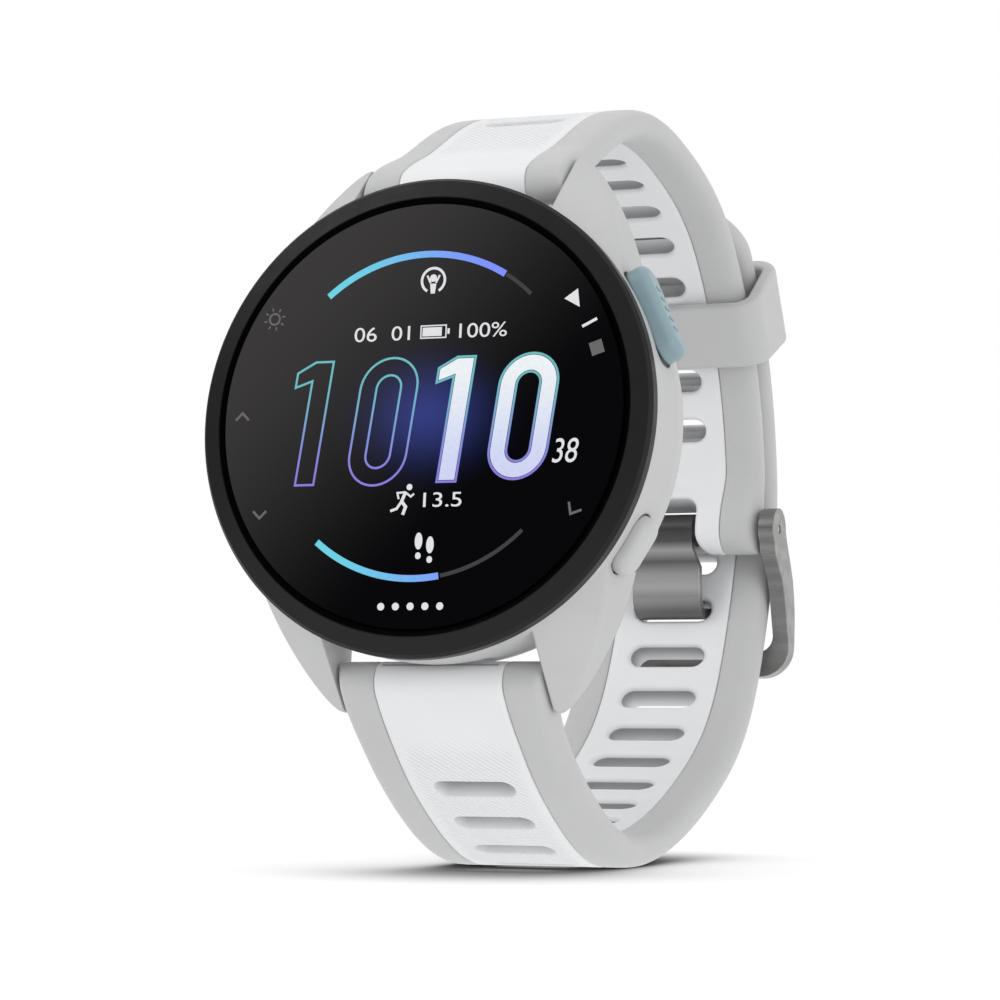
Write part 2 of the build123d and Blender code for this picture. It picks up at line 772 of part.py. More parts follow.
# ---------------------------------------------------------------- quick-release spring bars
for bar_name, side in (("upper", 1), ("lower", -1)):
    with BuildPart() as tube:
        with BuildSketch(Plane.YZ):
            with Locations((bar_y, side * bar_z)):
                Circle(tube_radius)
                Circle(tube_bore_radius, mode=Mode.SUBTRACT)
        extrude(amount=tube_half_length, both=True)
        with BuildSketch(bar_plane(side)):
            with Locations(((window_start + window_end) / 2, 0)):
                Rectangle(window_end - window_start, 2 * tube_slot_half_width)
        extrude(amount=2 * tube_radius, mode=Mode.SUBTRACT)
    save(tube.part, f"{bar_name}_bar_tube")
    axis_point = (bar_y, side * bar_z)
    with BuildPart() as fixed_tip:
        with BuildSketch(Plane.YZ.offset(-tip_reach)):
            with Locations(axis_point):
                Circle(tip_radius)
        extrude(amount=tip_reach - fixed_tip_start)
        fillet(fixed_tip.edges().group_by(Axis.X)[0], tip_end_radius)
    save(fixed_tip.part, f"{bar_name}_bar_fixed_tip")
    with BuildPart() as release_tip:
        with BuildSketch(Plane.YZ.offset(release_tip_start)):
            with Locations(axis_point):
                Circle(tip_radius)
        extrude(amount=tip_reach - release_tip_start)
        fillet(release_tip.edges().group_by(Axis.X)[-1], tip_end_radius)
        with BuildSketch(bar_plane(side)):
            with Locations((knob_x, 0)):
                Circle(knob_radius)
        extrude(amount=knob_length)
    save(release_tip.part, f"{bar_name}_bar_release_tip")
    with BuildPart() as coil:
        with BuildLine():
            turns = Helix(
                pitch=(coil_end - coil_start) / coil_turns,
                height=coil_end - coil_start,
                radius=coil_radius,
                center=(coil_start, bar_y, side * bar_z),
                direction=(1, 0, 0),
            )
        with BuildSketch(Plane(turns @ 0, z_dir=turns % 0)):
            Circle(coil_wire_radius)
        sweep(is_frenet=True)
    save(coil.part, f"{bar_name}_bar_spring")

# ---------------------------------------------------------------- buckle: pin, tongue and frame
with BuildPart() as buckle_pin:
    with BuildSketch(Plane.YZ):
        with Locations((pivot_y, pivot_z)):
            Circle(pin_radius)
    extrude(amount=pin_half_length, both=True)
    with BuildSketch(Plane.YZ):
        with Locations((pivot_y, pivot_z)):
            Circle(pin_tip_radius)
    extrude(amount=pin_tip_reach, both=True)
save(buckle_pin.part, "buckle_pin")

# The tongue's plate runs down the inside of the long strap and bends outward into a slot. The bend ends
# on a circle about the pin, so that the turned-out stud leaves the slot when the tongue swings inward.
pivot_place = Vector(pivot_y, pivot_z)
slot_middle = long_path.position_at(buckle_slot_station / long_path.length)
stud_radius = (slot_middle - pivot_place).length - tongue_thickness / 4
heading = radians(tongue_heading)
plate_way = Vector(cos(heading), sin(heading))
plate_left = Vector(-sin(heading), cos(heading))
plate_top = pivot_place + Vector(tongue_thickness / 2 - tongue_eye_radius, 0)
bend_start = plate_top + plate_left * tongue_bend_radius - pivot_place
along = bend_start.dot(plate_way)
plate_length = sqrt((stud_radius - tongue_bend_radius) ** 2 - bend_start.length ** 2 + along ** 2) - along
bend_middle = bend_start + plate_way * plate_length
bend_turn = degrees(atan2(bend_middle.Y, bend_middle.X)) + 90 - tongue_heading

with BuildPart() as buckle_tongue:
    with BuildSketch(Plane.YZ):
        with BuildLine():
            plate = Line(plate_top, plate_top + plate_way * plate_length)
            bend = JernArc(plate @ 1, plate % 1, tongue_bend_radius, bend_turn)
            JernArc(bend @ 1, bend % 1, stud_radius, tongue_stud_turn)
            offset(amount=tongue_thickness / 2, side=Side.BOTH)
        make_face()
    extrude(amount=tongue_half, both=True)
    flare_start, flare_end = tongue_flare
    for side in (1, -1):
        with BuildSketch(Plane.XZ.offset(-pivot_y)):
            with BuildLine():
                Polyline(
                    (side * tongue_half, pivot_z - flare_end),
                    (side * tongue_root_half, pivot_z - flare_start),
                    (side * tongue_root_half, pivot_z + flare_end),
                    (side * 2 * tongue_half, pivot_z + flare_end),
                    (side * 2 * tongue_half, pivot_z - flare_end),
                    close=True,
                )
            make_face()
        extrude(amount=3 * tongue_eye_radius, both=True, mode=Mode.SUBTRACT)
    with BuildSketch(Plane.YZ):
        with Locations((pivot_y, pivot_z)):
            Circle(tongue_eye_radius)
    extrude(amount=tongue_root_half, both=True)
    with BuildSketch(Plane.YZ):
        with Locations((pivot_y, pivot_z)):
            Circle(pin_bore_radius)
    extrude(amount=tongue_half, both=True, mode=Mode.SUBTRACT)
save(buckle_tongue.part, "buckle_tongue")

frame_bottom = pivot_z + arm_outer_line[-1][1]
frame_opening_bottom = pivot_z + end_bar_top
frame_top = pivot_z + arm_boss_radius
with BuildPart() as buckle_frame:
    with BuildSketch(Plane.XZ.offset(-pivot_y + arm_boss_radius)) as frame_outline:
        with BuildLine():
            Polyline(
                (-arm_outer, frame_top),
                (-arm_outer, frame_bottom),
                (arm_outer, frame_bottom),
                (arm_outer, frame_top),
                (arm_inner, frame_top),
                (arm_inner, frame_opening_bottom),
                (-arm_inner, frame_opening_bottom),
                (-arm_inner, frame_top),
                close=True,
            )
        make_face()
        outer_corners = frame_outline.vertices().group_by(Axis.Y)[0]
        fillet(outer_corners, frame_corner_radius)
        opening_corners = [v for v in frame_outline.vertices() if abs(v.Y - frame_opening_bottom) < fit_gap]
        fillet(opening_corners, frame_opening_radius)
    extrude(amount=-4 * arm_boss_radius)
    with BuildSketch(Plane.YZ.offset(-arm_outer)):
        with BuildLine():
            outer_side = Spline(*[pivot_place + Vector(*point) for point in arm_outer_line])
            inner_side = Spline(*[pivot_place + Vector(*point) for point in arm_inner_line])
            Line(outer_side @ 1, inner_side @ 0)
            Line(inner_side @ 1, outer_side @ 0)
        make_face()
        with Locations((pivot_y, pivot_z)):
            Circle(arm_boss_radius)
            Circle(arm_hole_radius, mode=Mode.SUBTRACT)
    extrude(amount=2 * arm_outer, mode=Mode.INTERSECT)
save(buckle_frame.part, "buckle_frame")

# ---------------------------------------------------------------- keeper
keeper_turn = keeper_width / long_rear_radius / radians(1)
keeper_inner = short_rear_radius - short_half_thickness - keeper_gap
keeper_outer = long_rear_radius + long_half_thickness + keeper_gap
keeper_opening = keeper_outer - keeper_inner
opening_half = strap_half_width + keeper_gap
start_turn = radians(keeper_angle - keeper_turn / 2)
keeper_start = Plane(
    (0, loop_y, loop_z), x_dir=(1, 0, 0), z_dir=(0, -sin(start_turn), cos(start_turn))
)
with BuildPart() as keeper:
    with BuildSketch(keeper_start):
        with Locations((0, (keeper_inner + keeper_outer) / 2)):
            RectangleRounded(2 * keeper_outer_half, keeper_opening + 2 * keeper_wall, keeper_corner)
            RectangleRounded(2 * opening_half, keeper_opening, keeper_opening_corner, mode=Mode.SUBTRACT)
    revolve(axis=Axis((0, loop_y, loop_z), (1, 0, 0)), revolution_arc=keeper_turn)
save(keeper.part, "keeper")
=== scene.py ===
"""Looks of a GPS running watch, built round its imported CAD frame.

Straps, keeper, dial, materials, floor and light.

Lengths in the tables below are in millimetres, in the frame of the CAD: +X to 3 o'clock, +Z to 12 o'clock,
+Y from the screen back into the wrist.
"""

import json
import math

import bmesh
import bpy
import numpy as np
from mathutils import Matrix, Vector


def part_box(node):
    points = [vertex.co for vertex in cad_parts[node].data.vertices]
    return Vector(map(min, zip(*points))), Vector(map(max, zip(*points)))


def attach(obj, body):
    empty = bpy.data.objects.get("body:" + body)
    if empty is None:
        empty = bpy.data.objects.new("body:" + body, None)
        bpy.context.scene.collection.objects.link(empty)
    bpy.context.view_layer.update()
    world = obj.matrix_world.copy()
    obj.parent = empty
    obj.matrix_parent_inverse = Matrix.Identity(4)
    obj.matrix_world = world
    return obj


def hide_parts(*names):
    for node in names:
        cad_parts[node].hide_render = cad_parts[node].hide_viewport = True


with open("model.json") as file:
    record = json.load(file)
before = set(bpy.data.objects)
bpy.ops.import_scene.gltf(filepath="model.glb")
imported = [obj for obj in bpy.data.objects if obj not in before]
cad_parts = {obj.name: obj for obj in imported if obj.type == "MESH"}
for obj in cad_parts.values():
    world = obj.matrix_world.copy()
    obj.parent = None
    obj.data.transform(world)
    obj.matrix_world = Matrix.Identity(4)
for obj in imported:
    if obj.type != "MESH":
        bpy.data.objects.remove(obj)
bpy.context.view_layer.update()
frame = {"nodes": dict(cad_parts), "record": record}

MM = 0.001
TURN = math.pi / 180
scene = bpy.context.scene


# ---------------------------------------------------------------- node materials
class Shader:
    """A Principled material with a few helpers for procedural colour and bump."""

    def __init__(self, name, colour, roughness, metallic=0.0, specular=0.5):
        self.material = bpy.data.materials.new(name)
        self.material.use_nodes = True
        self.material.diffuse_color = (*colour, 1.0)
        self.tree = self.material.node_tree
        self.surface = self.tree.nodes["Principled BSDF"]
        self.surface.inputs["Base Color"].default_value = (*colour, 1.0)
        self.surface.inputs["Roughness"].default_value = roughness
        self.surface.inputs["Metallic"].default_value = metallic
        self.surface.inputs["Specular IOR Level"].default_value = specular
        self.surface.inputs["IOR"].default_value = 1.45
        self.colour = colour
        self.roughness = roughness
        self.coordinates = self.tree.nodes.new("ShaderNodeTexCoord")
        self.height = None

    def node(self, kind, **inputs):
        """New node; each keyword is an input's name, or i and its number."""
        made = self.tree.nodes.new(kind)
        for key, value in inputs.items():
            self.feed(made, key.replace("_", " "), value)
        return made

    def feed(self, node, key, value):
        numbered = key[0] == "i" and key[1:].isdigit()
        target = node.inputs[int(key[1:]) if numbered else key]
        if isinstance(value, bpy.types.NodeSocket):
            self.tree.links.new(value, target)
        else:
            target.default_value = value

    def math(self, operation, a, b=0.0):
        made = self.tree.nodes.new("ShaderNodeMath")
        made.operation = operation
        self.feed(made, "i0", a)
        self.feed(made, "i1", b)
        return made.outputs[0]

    def vector(self, operation, a, b=(0.0, 0.0, 0.0), output="Vector"):
        made = self.node("ShaderNodeVectorMath", i0=a, i1=b)
        made.operation = operation
        return made.outputs[output]

    def place(self):
        """X, Y and Z of the shaded point in its own object, in metres."""
        return self.node("ShaderNodeSeparateXYZ", Vector=self.coordinates.outputs["Object"]).outputs

    def noise(self, size, detail=3.0, stretch=(1.0, 1.0, 1.0)):
        """Noise whose features are about size millimetres across."""
        made = self.node("ShaderNodeTexNoise", Scale=1.0, Detail=detail, Roughness=0.55)
        mapped = self.node("ShaderNodeMapping", Vector=self.coordinates.outputs["Object"])
        mapped.inputs["Scale"].default_value = [1.0 / (size * MM * s) for s in stretch]
        self.feed(made, "Vector", mapped.outputs[0])
        return made.outputs["Fac"]

    def blend(self, share, first, second):
        made = self.tree.nodes.new("ShaderNodeMix")
        made.data_type = "RGBA"
        self.feed(made, "i0", share)
        self.feed(made, "i6", first)
        self.feed(made, "i7", second)
        return made.outputs[2]

    def ramp(self, value, low, high, out_low=0.0, out_high=1.0):
        """Smooth step of a value from out_low at low to out_high at high."""
        made = self.tree.nodes.new("ShaderNodeMapRange")
        made.interpolation_type = "SMOOTHSTEP"
        for place, number in enumerate((value, low, high, out_low, out_high)):
            self.feed(made, f"i{place}", number)
        return made.outputs[0]

    def mottle(self, size, amount):
        """Slow variation of the colour, from one side of the base colour to the other."""
        dark = tuple(c * (1 - amount) for c in self.colour) + (1.0,)
        light = tuple(min(1.0, c * (1 + amount)) for c in self.colour) + (1.0,)
        share = self.ramp(self.noise(size), 0.3, 0.7)
        self.feed(self.surface, "Base Color", self.blend(share, dark, light))

    def polish(self, size, amount):
        """Variation of the roughness, as from handling."""
        low, high = self.roughness - amount, self.roughness + amount
        self.feed(self.surface, "Roughness", self.ramp(self.noise(size, 4.0), 0.3, 0.7, low, high))

    def tint(self, amount):
        """Scales the base colour by a number between 0 and 1."""
        made = self.node("ShaderNodeVectorMath", i0=self.surface.inputs["Base Color"].links[0].from_socket)
        made.operation = "SCALE"
        self.feed(made, "Scale", amount)
        self.feed(self.surface, "Base Color", made.outputs[0])

    def relief(self, height, depth):
        """Adds a bump of the given depth in millimetres, on top of any bump already there."""
        made = self.tree.nodes.new("ShaderNodeBump")
        made.inputs["Distance"].default_value = depth * MM
        made.inputs["Strength"].default_value = 1.0
        self.feed(made, "Height", height)
        if self.height is not None:
            self.feed(made, "Normal", self.height)
        self.height = made.outputs[0]
        self.feed(self.surface, "Normal", self.height)

    def soften(self, radius):
        """Rounds hard edges in the shading, by a radius in millimetres."""
        made = self.tree.nodes.new("ShaderNodeBevel")
        made.samples = 6
        made.inputs["Radius"].default_value = radius * MM
        self.height = made.outputs[0]
        self.feed(self.surface, "Normal", self.height)


def plastic(name, colour, roughness, grain=0.12, depth=0.004, edge=0.25, specular=0.45, mottle=0.02):
    made = Shader(name, colour, roughness, specular=specular)
    made.mottle(6.0, mottle)
    made.polish(1.5, 0.04)
    if edge:
        made.soften(edge)
    made.relief(made.noise(grain, 2.0), depth)
    return made


SCRATCH_STRETCH = (40.0, 1.0, 1.0)


def brushed(name, colour, roughness, edge=0.12, band=0.0):
    """Metal with fine scratches drawn out along X; band adds slow light and dark streaks."""
    made = Shader(name, colour, roughness, metallic=1.0)
    streaks = made.noise(0.05, 3.0, SCRATCH_STRETCH)
    dark = tuple(c * 0.8 for c in colour) + (1.0,)
    tint = made.blend(streaks, dark, (*colour, 1.0))
    if band:
        slow = made.ramp(made.noise(1.3, 0.0, SCRATCH_STRETCH), 0.38, 0.62)
        tint = made.blend(slow, tuple(c * (1 - band) for c in colour) + (1.0,), tint)
    made.feed(made.surface, "Base Color", tint)
    made.feed(made.surface, "Roughness", made.ramp(streaks, 0.2, 0.8, roughness - 0.06, roughness + 0.08))
    made.soften(edge)
    made.relief(streaks, 0.0015)
    return made


def rubber(name, colour, roughness):
    made = Shader(name, colour, roughness, specular=0.35)
    made.mottle(9.0, 0.012)
    made.polish(2.5, 0.05)
    made.surface.inputs["Sheen Weight"].default_value = 0.15
    made.surface.inputs["Sheen Roughness"].default_value = 0.4
    made.surface.inputs["Subsurface Weight"].default_value = 0.12
    made.surface.inputs["Subsurface Radius"].default_value = (1.0, 0.95, 0.9)
    made.surface.inputs["Subsurface Scale"].default_value = 0.6 * MM
    made.relief(made.noise(0.09, 2.0), 0.003)
    return made


RIB_PITCH = 0.64                # along the strap
BEZEL_SPECULAR = 0.26
grey = (0.5, 0.502, 0.505)
white = (0.78, 0.785, 0.80)
looks = {
    "case_grey": plastic("case_grey", grey, 0.5),
    "cover_grey": plastic("cover_grey", (0.5, 0.505, 0.51), 0.5),
    "bezel_black": plastic("bezel_black", (0.009, 0.009, 0.0095), 0.42, 0.1, 0.003, 0.08, BEZEL_SPECULAR),
    "frame_black": plastic("frame_black", (0.03, 0.03, 0.032), 0.5),
    "switch_black": plastic("switch_black", (0.02, 0.02, 0.02), 0.45),
    "display": plastic("display", (0.008, 0.008, 0.01), 0.2, edge=0.0),
    "flex_amber": plastic("flex_amber", (0.5, 0.23, 0.04), 0.4, edge=0.0),
    "board_green": plastic("board_green", (0.01, 0.09, 0.04), 0.4, edge=0.05),
    "adhesive": plastic("adhesive", (0.02, 0.02, 0.02), 0.8, edge=0.0),
    "seal_black": plastic("seal_black", (0.015, 0.015, 0.015), 0.6, edge=0.05),
    "lamp_clear": plastic("lamp_clear", (0.35, 0.45, 0.2), 0.2, edge=0.0),
    "window_dark": plastic("window_dark", (0.012, 0.012, 0.014), 0.12, depth=0.0, edge=0.1, specular=0.6),
    "button_grey": plastic("button_grey", grey, 0.38, 0.1, 0.002, 0.3),
    "button_blue": plastic("button_blue", (0.235, 0.335, 0.37), 0.36, 0.1, 0.002, 0.3),
    "antenna_copper": brushed("antenna_copper", (0.75, 0.38, 0.22), 0.3),
    "shield_tin": brushed("shield_tin", (0.7, 0.7, 0.7), 0.35),
    "battery_foil": brushed("battery_foil", (0.6, 0.61, 0.63), 0.4),
    "motor_steel": brushed("motor_steel", (0.6, 0.6, 0.61), 0.3),
    "screw_steel": brushed("screw_steel", (0.55, 0.55, 0.55), 0.3),
    "contact_gold": brushed("contact_gold", (0.85, 0.6, 0.22), 0.25),
    "clip_steel": brushed("clip_steel", (0.6, 0.6, 0.6), 0.3),
    "bar_steel": brushed("bar_steel", (0.55, 0.55, 0.55), 0.28),
    "buckle_steel": brushed("buckle_steel", (0.36, 0.355, 0.35), 0.3, edge=0.18, band=0.25),
    "strap_grey": rubber("strap_grey", grey, 0.5),
    "strap_white": rubber("strap_white", white, 0.46),
}


def strap_ribs(made):
    """Fine slanting ribs pressed into the outer face of the white rubber, with painted shade in their grooves
    and on the walls of its slots.

    The UV map of a strap piece holds metres across it and metres along it, negative in the 12 o'clock strap.
    Its attribute outer is 1 on the outer face, and deep is 1 on the walls of the slots, where shade is
    painted.
    """
    uv = made.tree.nodes.new("ShaderNodeUVMap")
    uv.uv_map = "strap"
    split = made.node("ShaderNodeSeparateXYZ", Vector=uv.outputs[0])
    across, along = split.outputs[0], split.outputs[1]
    outer = made.tree.nodes.new("ShaderNodeAttribute")
    outer.attribute_name = "outer"
    phase = made.math("MULTIPLY", made.math("SUBTRACT", along, across), 2 * math.pi / (RIB_PITCH * MM))
    wave = made.math("SINE", phase)
    sides = made.ramp(made.math("ABSOLUTE", across), 4.6 * MM, 5.9 * MM, 1.0, 0.0)
    start = made.ramp(made.math("ABSOLUTE", along), 3.5 * MM, 8.0 * MM)
    shown = made.math("MULTIPLY", made.math("MULTIPLY", sides, start), outer.outputs["Fac"])
    ribs = made.math("MULTIPLY", wave, shown)
    made.relief(ribs, 0.03)
    deep = made.tree.nodes.new("ShaderNodeAttribute")
    deep.attribute_name = "deep"
    # painted shade on the slot walls: their colour is taken down to 0.4
    dark = made.ramp(deep.outputs["Fac"], 0.0, 1.0, 1.0, 0.4)
    # painted shade in the rib grooves, up to a tenth darker, on top of the slot walls' painted shade
    shade = made.math("MULTIPLY", made.ramp(ribs, -1.0, 0.6, 0.9, 1.0), dark)
    made.tint(shade)


strap_ribs(looks["strap_white"])


GLOW_BLUE = (0.13, 0.2, 1.1)
PAINTED_SHEEN_GREY = (1.0, 0.94, 0.96)


def lens_look():
    """Black glass with a painted grey reflection towards 10 o'clock, glowing in its colour, and the display's
    faint blue glow.
    """
    made = Shader("lens_glass", (0.002, 0.002, 0.0025), 0.06, specular=0.08)
    x, _, z = made.place()
    # painted reflection: a soft grey glow that brightens towards 10 o'clock
    lean = made.math("ADD", made.math("MULTIPLY", x, -0.72), made.math("MULTIPLY", z, 0.7))
    painted_sheen = made.ramp(lean, -9.0 * MM, 19.0 * MM, 0.0, 0.042)
    side = made.math("MULTIPLY", made.math("SUBTRACT", x, 0.9 * MM), 0.78)
    from_middle = made.node("ShaderNodeCombineXYZ", X=side, Y=0.0, Z=z).outputs[0]
    glow = made.ramp(made.vector("LENGTH", from_middle, output="Value"), 0.0, 8.5 * MM, 0.42, 0.0)
    glow = made.math("MULTIPLY", glow, glow)
    blue = made.vector("SCALE", GLOW_BLUE)
    made.feed(blue.node, "Scale", glow)
    pale = made.vector("SCALE", PAINTED_SHEEN_GREY)
    made.feed(pale.node, "Scale", painted_sheen)
    total = made.vector("ADD", blue, pale)
    made.feed(made.surface, "Emission Color", total)
    made.surface.inputs["Emission Strength"].default_value = 1.0
    made.polish(5.0, 0.02)
    return made


looks["lens_glass"] = lens_look()


BEZEL_CREST = 19.7              # radius of the bezel's front edge


def paint_shade_inside(made, radius):
    """Paints shade on a ring's inner slope, inside a radius in millimetres about the head's axis: darker
    colour and less gloss.
    """
    x, _, z = made.place()
    from_axis = made.node("ShaderNodeCombineXYZ", X=x, Y=0.0, Z=z).outputs[0]
    reach = made.vector("LENGTH", from_axis, output="Value")
    # painted shade: colour and gloss down to 0.06 inside the radius
    share = made.ramp(reach, (radius - 0.12) * MM, (radius + 0.06) * MM, 0.06, 1.0)
    made.tint(share)
    made.feed(made.surface, "Specular IOR Level", made.math("MULTIPLY", share, BEZEL_SPECULAR))


paint_shade_inside(looks["bezel_black"], BEZEL_CREST)


TONGUE_HEIGHTS = (-9.5, 0.9)     # foot and root of the tongue
TONGUE_REFLECTION_BANDS = (                 # share of that height, and brightness of the painted reflection there
    (0.0, 0.28), (0.12, 0.5), (0.3, 1.0), (0.5, 0.8), (0.68, 0.3), (0.83, 0.9), (0.92, 0.25), (1.0, 0.16))


def tongue_look():
    """Brushed steel with painted reflection: the broad light and dark bands that the tongue's curved root
    reflects, painted into its colour by height.
    """
    made = brushed("tongue_steel", (0.62, 0.615, 0.61), 0.42, edge=0.15)
    low, high = TONGUE_HEIGHTS
    share = made.ramp(made.place()[2], low * MM, high * MM)
    painted_bands = made.node("ShaderNodeValToRGB", Fac=share)
    stops = painted_bands.color_ramp.elements
    while len(stops) < len(TONGUE_REFLECTION_BANDS):
        stops.new(0.5)
    for element, (place, value) in zip(stops, TONGUE_REFLECTION_BANDS):
        element.position = place
        element.color = (value, value, value, 1.0)
    made.tint(painted_bands.outputs[0])
    return made


looks["tongue_steel"] = tongue_look()


def lit(name, colour, strength=1.0):
    """A lit mark of the display: flat glowing colour, with the glass's gloss over it."""
    made = Shader(name, tuple(0.04 * c for c in colour), 0.3)
    made.surface.inputs["Emission Color"].default_value = (*colour, 1.0)
    made.surface.inputs["Emission Strength"].default_value = strength
    flicker = made.ramp(made.noise(0.4), 0.3, 0.7, strength * 0.96, strength * 1.02)
    made.feed(made.surface, "Emission Strength", flicker)
    return made


def lit_gradient(name, axis, low, high, low_colour, high_colour, strength=1.0):
    """The same, with the colour changing along one axis of the frame between two places in millimetres."""
    made = lit(name, low_colour, strength)
    share = made.ramp(made.place()["XYZ".index(axis)], low * MM, high * MM)
    mixed = made.blend(share, (*low_colour, 1.0), (*high_colour, 1.0))
    made.feed(made.surface, "Emission Color", mixed)
    return made


# ---------------------------------------------------------------- meshes
def add_mesh(name, points, faces, look, body, smooth=True):
    """A mesh piece from points in millimetres, which rides on a CAD body."""
    mesh = bpy.data.meshes.new(name)
    mesh.from_pydata([tuple(c * MM for c in p) for p in points], [], faces)
    mesh.update()
    piece = bpy.data.objects.new(name, mesh)
    scene.collection.objects.link(piece)
    mesh.materials.append(looks[look].material if isinstance(look, str) else look.material)
    for polygon in mesh.polygons:
        polygon.use_smooth = smooth
    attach(piece, body)
    return piece


def tidy_mesh(piece, merge=0.002):
    """Joins points that meet and turns all faces outward."""
    work = bmesh.new()
    work.from_mesh(piece.data)
    bmesh.ops.remove_doubles(work, verts=work.verts, dist=merge * MM)
    bmesh.ops.dissolve_degenerate(work, edges=work.edges, dist=0.0005 * MM)
    bmesh.ops.recalc_face_normals(work, faces=work.faces)
    work.to_mesh(piece.data)
    work.free()


def weighted_normals(piece):
    made = piece.modifiers.new("even_shading", "WEIGHTED_NORMAL")
    made.keep_sharp = True


# ---------------------------------------------------------------- centre lines of the straps
LOOP = (30.0, -1.0)             # (Y, Z) of the middle of the wrist opening
BAR = (8.6, 22.7)               # (Y, Z) of the upper spring bar; the lower one is at -Z
PIVOT = (66.6, 0.4)             # (Y, Z) of the buckle's pin
LONG_STATIONS = ((-122, 31.3), (-105, 32.6), (-88, 34.5), (-68, 35.1), (-48, 36.6), (-30, 39.3), (-10, 40.5))
SHORT_STATIONS = ((118, 31.7), (105, 33.0), (90, 34.9), (72, 36.2))
LONG_ARC = (42.2, 10, 54)       # radius, first and last angle about the middle of the opening
SHORT_ARC = (38.0, 50, 12)
LONG_DEPARTURE = (0.63, -0.78)
SHORT_DEPARTURE = (0.78, 0.62)


def loop_point(radius, angle):
    return (LOOP[0] + radius * math.cos(angle * TURN), LOOP[1] + radius * math.sin(angle * TURN))


def loop_way(angle, sense):
    return (-math.sin(angle * TURN) * sense, math.cos(angle * TURN) * sense)


def cubic(points, first, last, steps=60):
    """Smooth line through points with given end directions: the cubic spline by chord length."""
    p = np.array(points, float)
    chord = np.linalg.norm(np.diff(p, axis=0), axis=1)
    count = len(p)
    system = np.zeros((count, count))
    right = np.zeros((count, 2))
    system[0, 0] = system[-1, -1] = 1
    right[0] = np.array(first) / np.linalg.norm(first)
    right[-1] = np.array(last) / np.linalg.norm(last)
    for i in range(1, count - 1):
        a, b = chord[i - 1], chord[i]
        system[i, i - 1:i + 2] = 1 / a, 2 * (1 / a + 1 / b), 1 / b
        right[i] = 3 * ((p[i] - p[i - 1]) / a ** 2 + (p[i + 1] - p[i]) / b ** 2)
    slope = np.linalg.solve(system, right)
    t = np.linspace(0, 1, steps, endpoint=False)[:, None]
    spans = []
    for i in range(count - 1):
        spans.append((2 * t ** 3 - 3 * t ** 2 + 1) * p[i] + (t ** 3 - 2 * t ** 2 + t) * chord[i] * slope[i]
                     + (3 * t ** 2 - 2 * t ** 3) * p[i + 1] + (t ** 3 - t ** 2) * chord[i] * slope[i + 1])
    return np.concatenate(spans + [p[-1:]])


def arc_line(radius, first, last, steps=200):
    return np.array([loop_point(radius, a) for a in np.linspace(first, last, steps)])


class StrapLine:
    """A strap's centre line in the side view, read by distance from its spring bar."""

    def __init__(self, spans, outward, half_thickness, end_barrel):
        points = np.concatenate(spans)
        steps = np.linalg.norm(np.diff(points, axis=0), axis=1)
        points = points[np.concatenate(([True], steps > 1e-6))]
        self.along = np.concatenate(([0], np.cumsum(np.linalg.norm(np.diff(points, axis=0), axis=1))))
        self.points = points
        self.length = self.along[-1]
        self.outward = outward
        self.half = half_thickness
        self.end_barrel = end_barrel

    def at(self, s):
        inside = min(max(s, 0.0), self.length)
        place = np.array([np.interp(inside, self.along, self.points[:, k]) for k in (0, 1)])
        low, high = max(inside - 0.4, 0.0), min(inside + 0.4, self.length)
        ends = [np.array([np.interp(q, self.along, self.points[:, k]) for k in (0, 1)]) for q in (low, high)]
        way = (ends[1] - ends[0]) / np.linalg.norm(ends[1] - ends[0])
        return place + way * (s - inside), way

    def thickness(self, s):
        """Half thickness along the strap: a barrel round each bar, drawn smoothly into the flat."""
        if s <= 0:
            return math.sqrt(max(0.0, LUG_BARREL ** 2 - s * s))
        value = self.half + (LUG_BARREL - self.half) * (1 - ease(s / 7.0))
        if self.end_barrel:
            left = self.length - s
            if left <= 0:
                return math.sqrt(max(0.0, self.end_barrel ** 2 - left * left))
            return max(value, self.half + (self.end_barrel - self.half) * (1 - ease(left / 7.0)))
        left = self.length - s
        if left < TIP_ROUND:
            return self.half * math.sqrt(max(0.0, 1 - (1 - left / TIP_ROUND) ** 2))
        return value

    def place(self, x, s, h):
        """Row-frame point, in millimetres, from across, along and height above the centre line."""
        here, way = self.at(s)
        side = np.array([way[1], -way[0]]) * self.outward
        spot = here + side * h
        return (x, spot[0], spot[1])


def ease(t):
    t = min(max(t, 0.0), 1.0)
    return t * t * (3 - 2 * t)


LUG_BARREL = 1.95
PIN_BARREL = 2.6
TIP_ROUND = 1.5
STRAP_HALF = 9.9
RAIL_START = 6.22               # inner side of a rail
INLAY_HALF = 6.17
INLAY_FLAT = 6.02
TIP_MARGIN = 6.5
TIP_LENGTH = 7.5
SLOT_PITCH = 5.5
SLOT_HALF = 3.95                # half length and half width of a slot at the outer face
SLOT_RADIUS = 1.1
COLUMNS = 20                    # spans across the inlay
ROWS = 8                        # spans along one slot's cell



def long_path():
    stations = [loop_point(radius, angle) for angle, radius in LONG_STATIONS]
    foot = loop_point(LONG_ARC[0], LONG_ARC[1])
    bend = cubic([(BAR[0], -BAR[1]), *stations, foot], LONG_DEPARTURE, loop_way(LONG_ARC[1], 1))
    return [bend, arc_line(*LONG_ARC)]


def short_path():
    stations = [loop_point(radius, angle) for angle, radius in SHORT_STATIONS]
    radius, first, last = SHORT_ARC
    bend = cubic([BAR, *stations, loop_point(radius, first)], SHORT_DEPARTURE, loop_way(first, -1))
    end = cubic([loop_point(radius, last), PIVOT], loop_way(last, -1), (0, -1))
    return [bend, arc_line(*SHORT_ARC), end]


long_line = StrapLine(long_path(), 1, 1.6, 0.0)
short_line = StrapLine(short_path(), -1, 1.5, PIN_BARREL)
LONG_SLOTS = [77.4 + SLOT_PITCH * k for k in range(-12, 7)]
SHORT_SLOTS = [15.8 + SLOT_PITCH * k for k in range(11)]


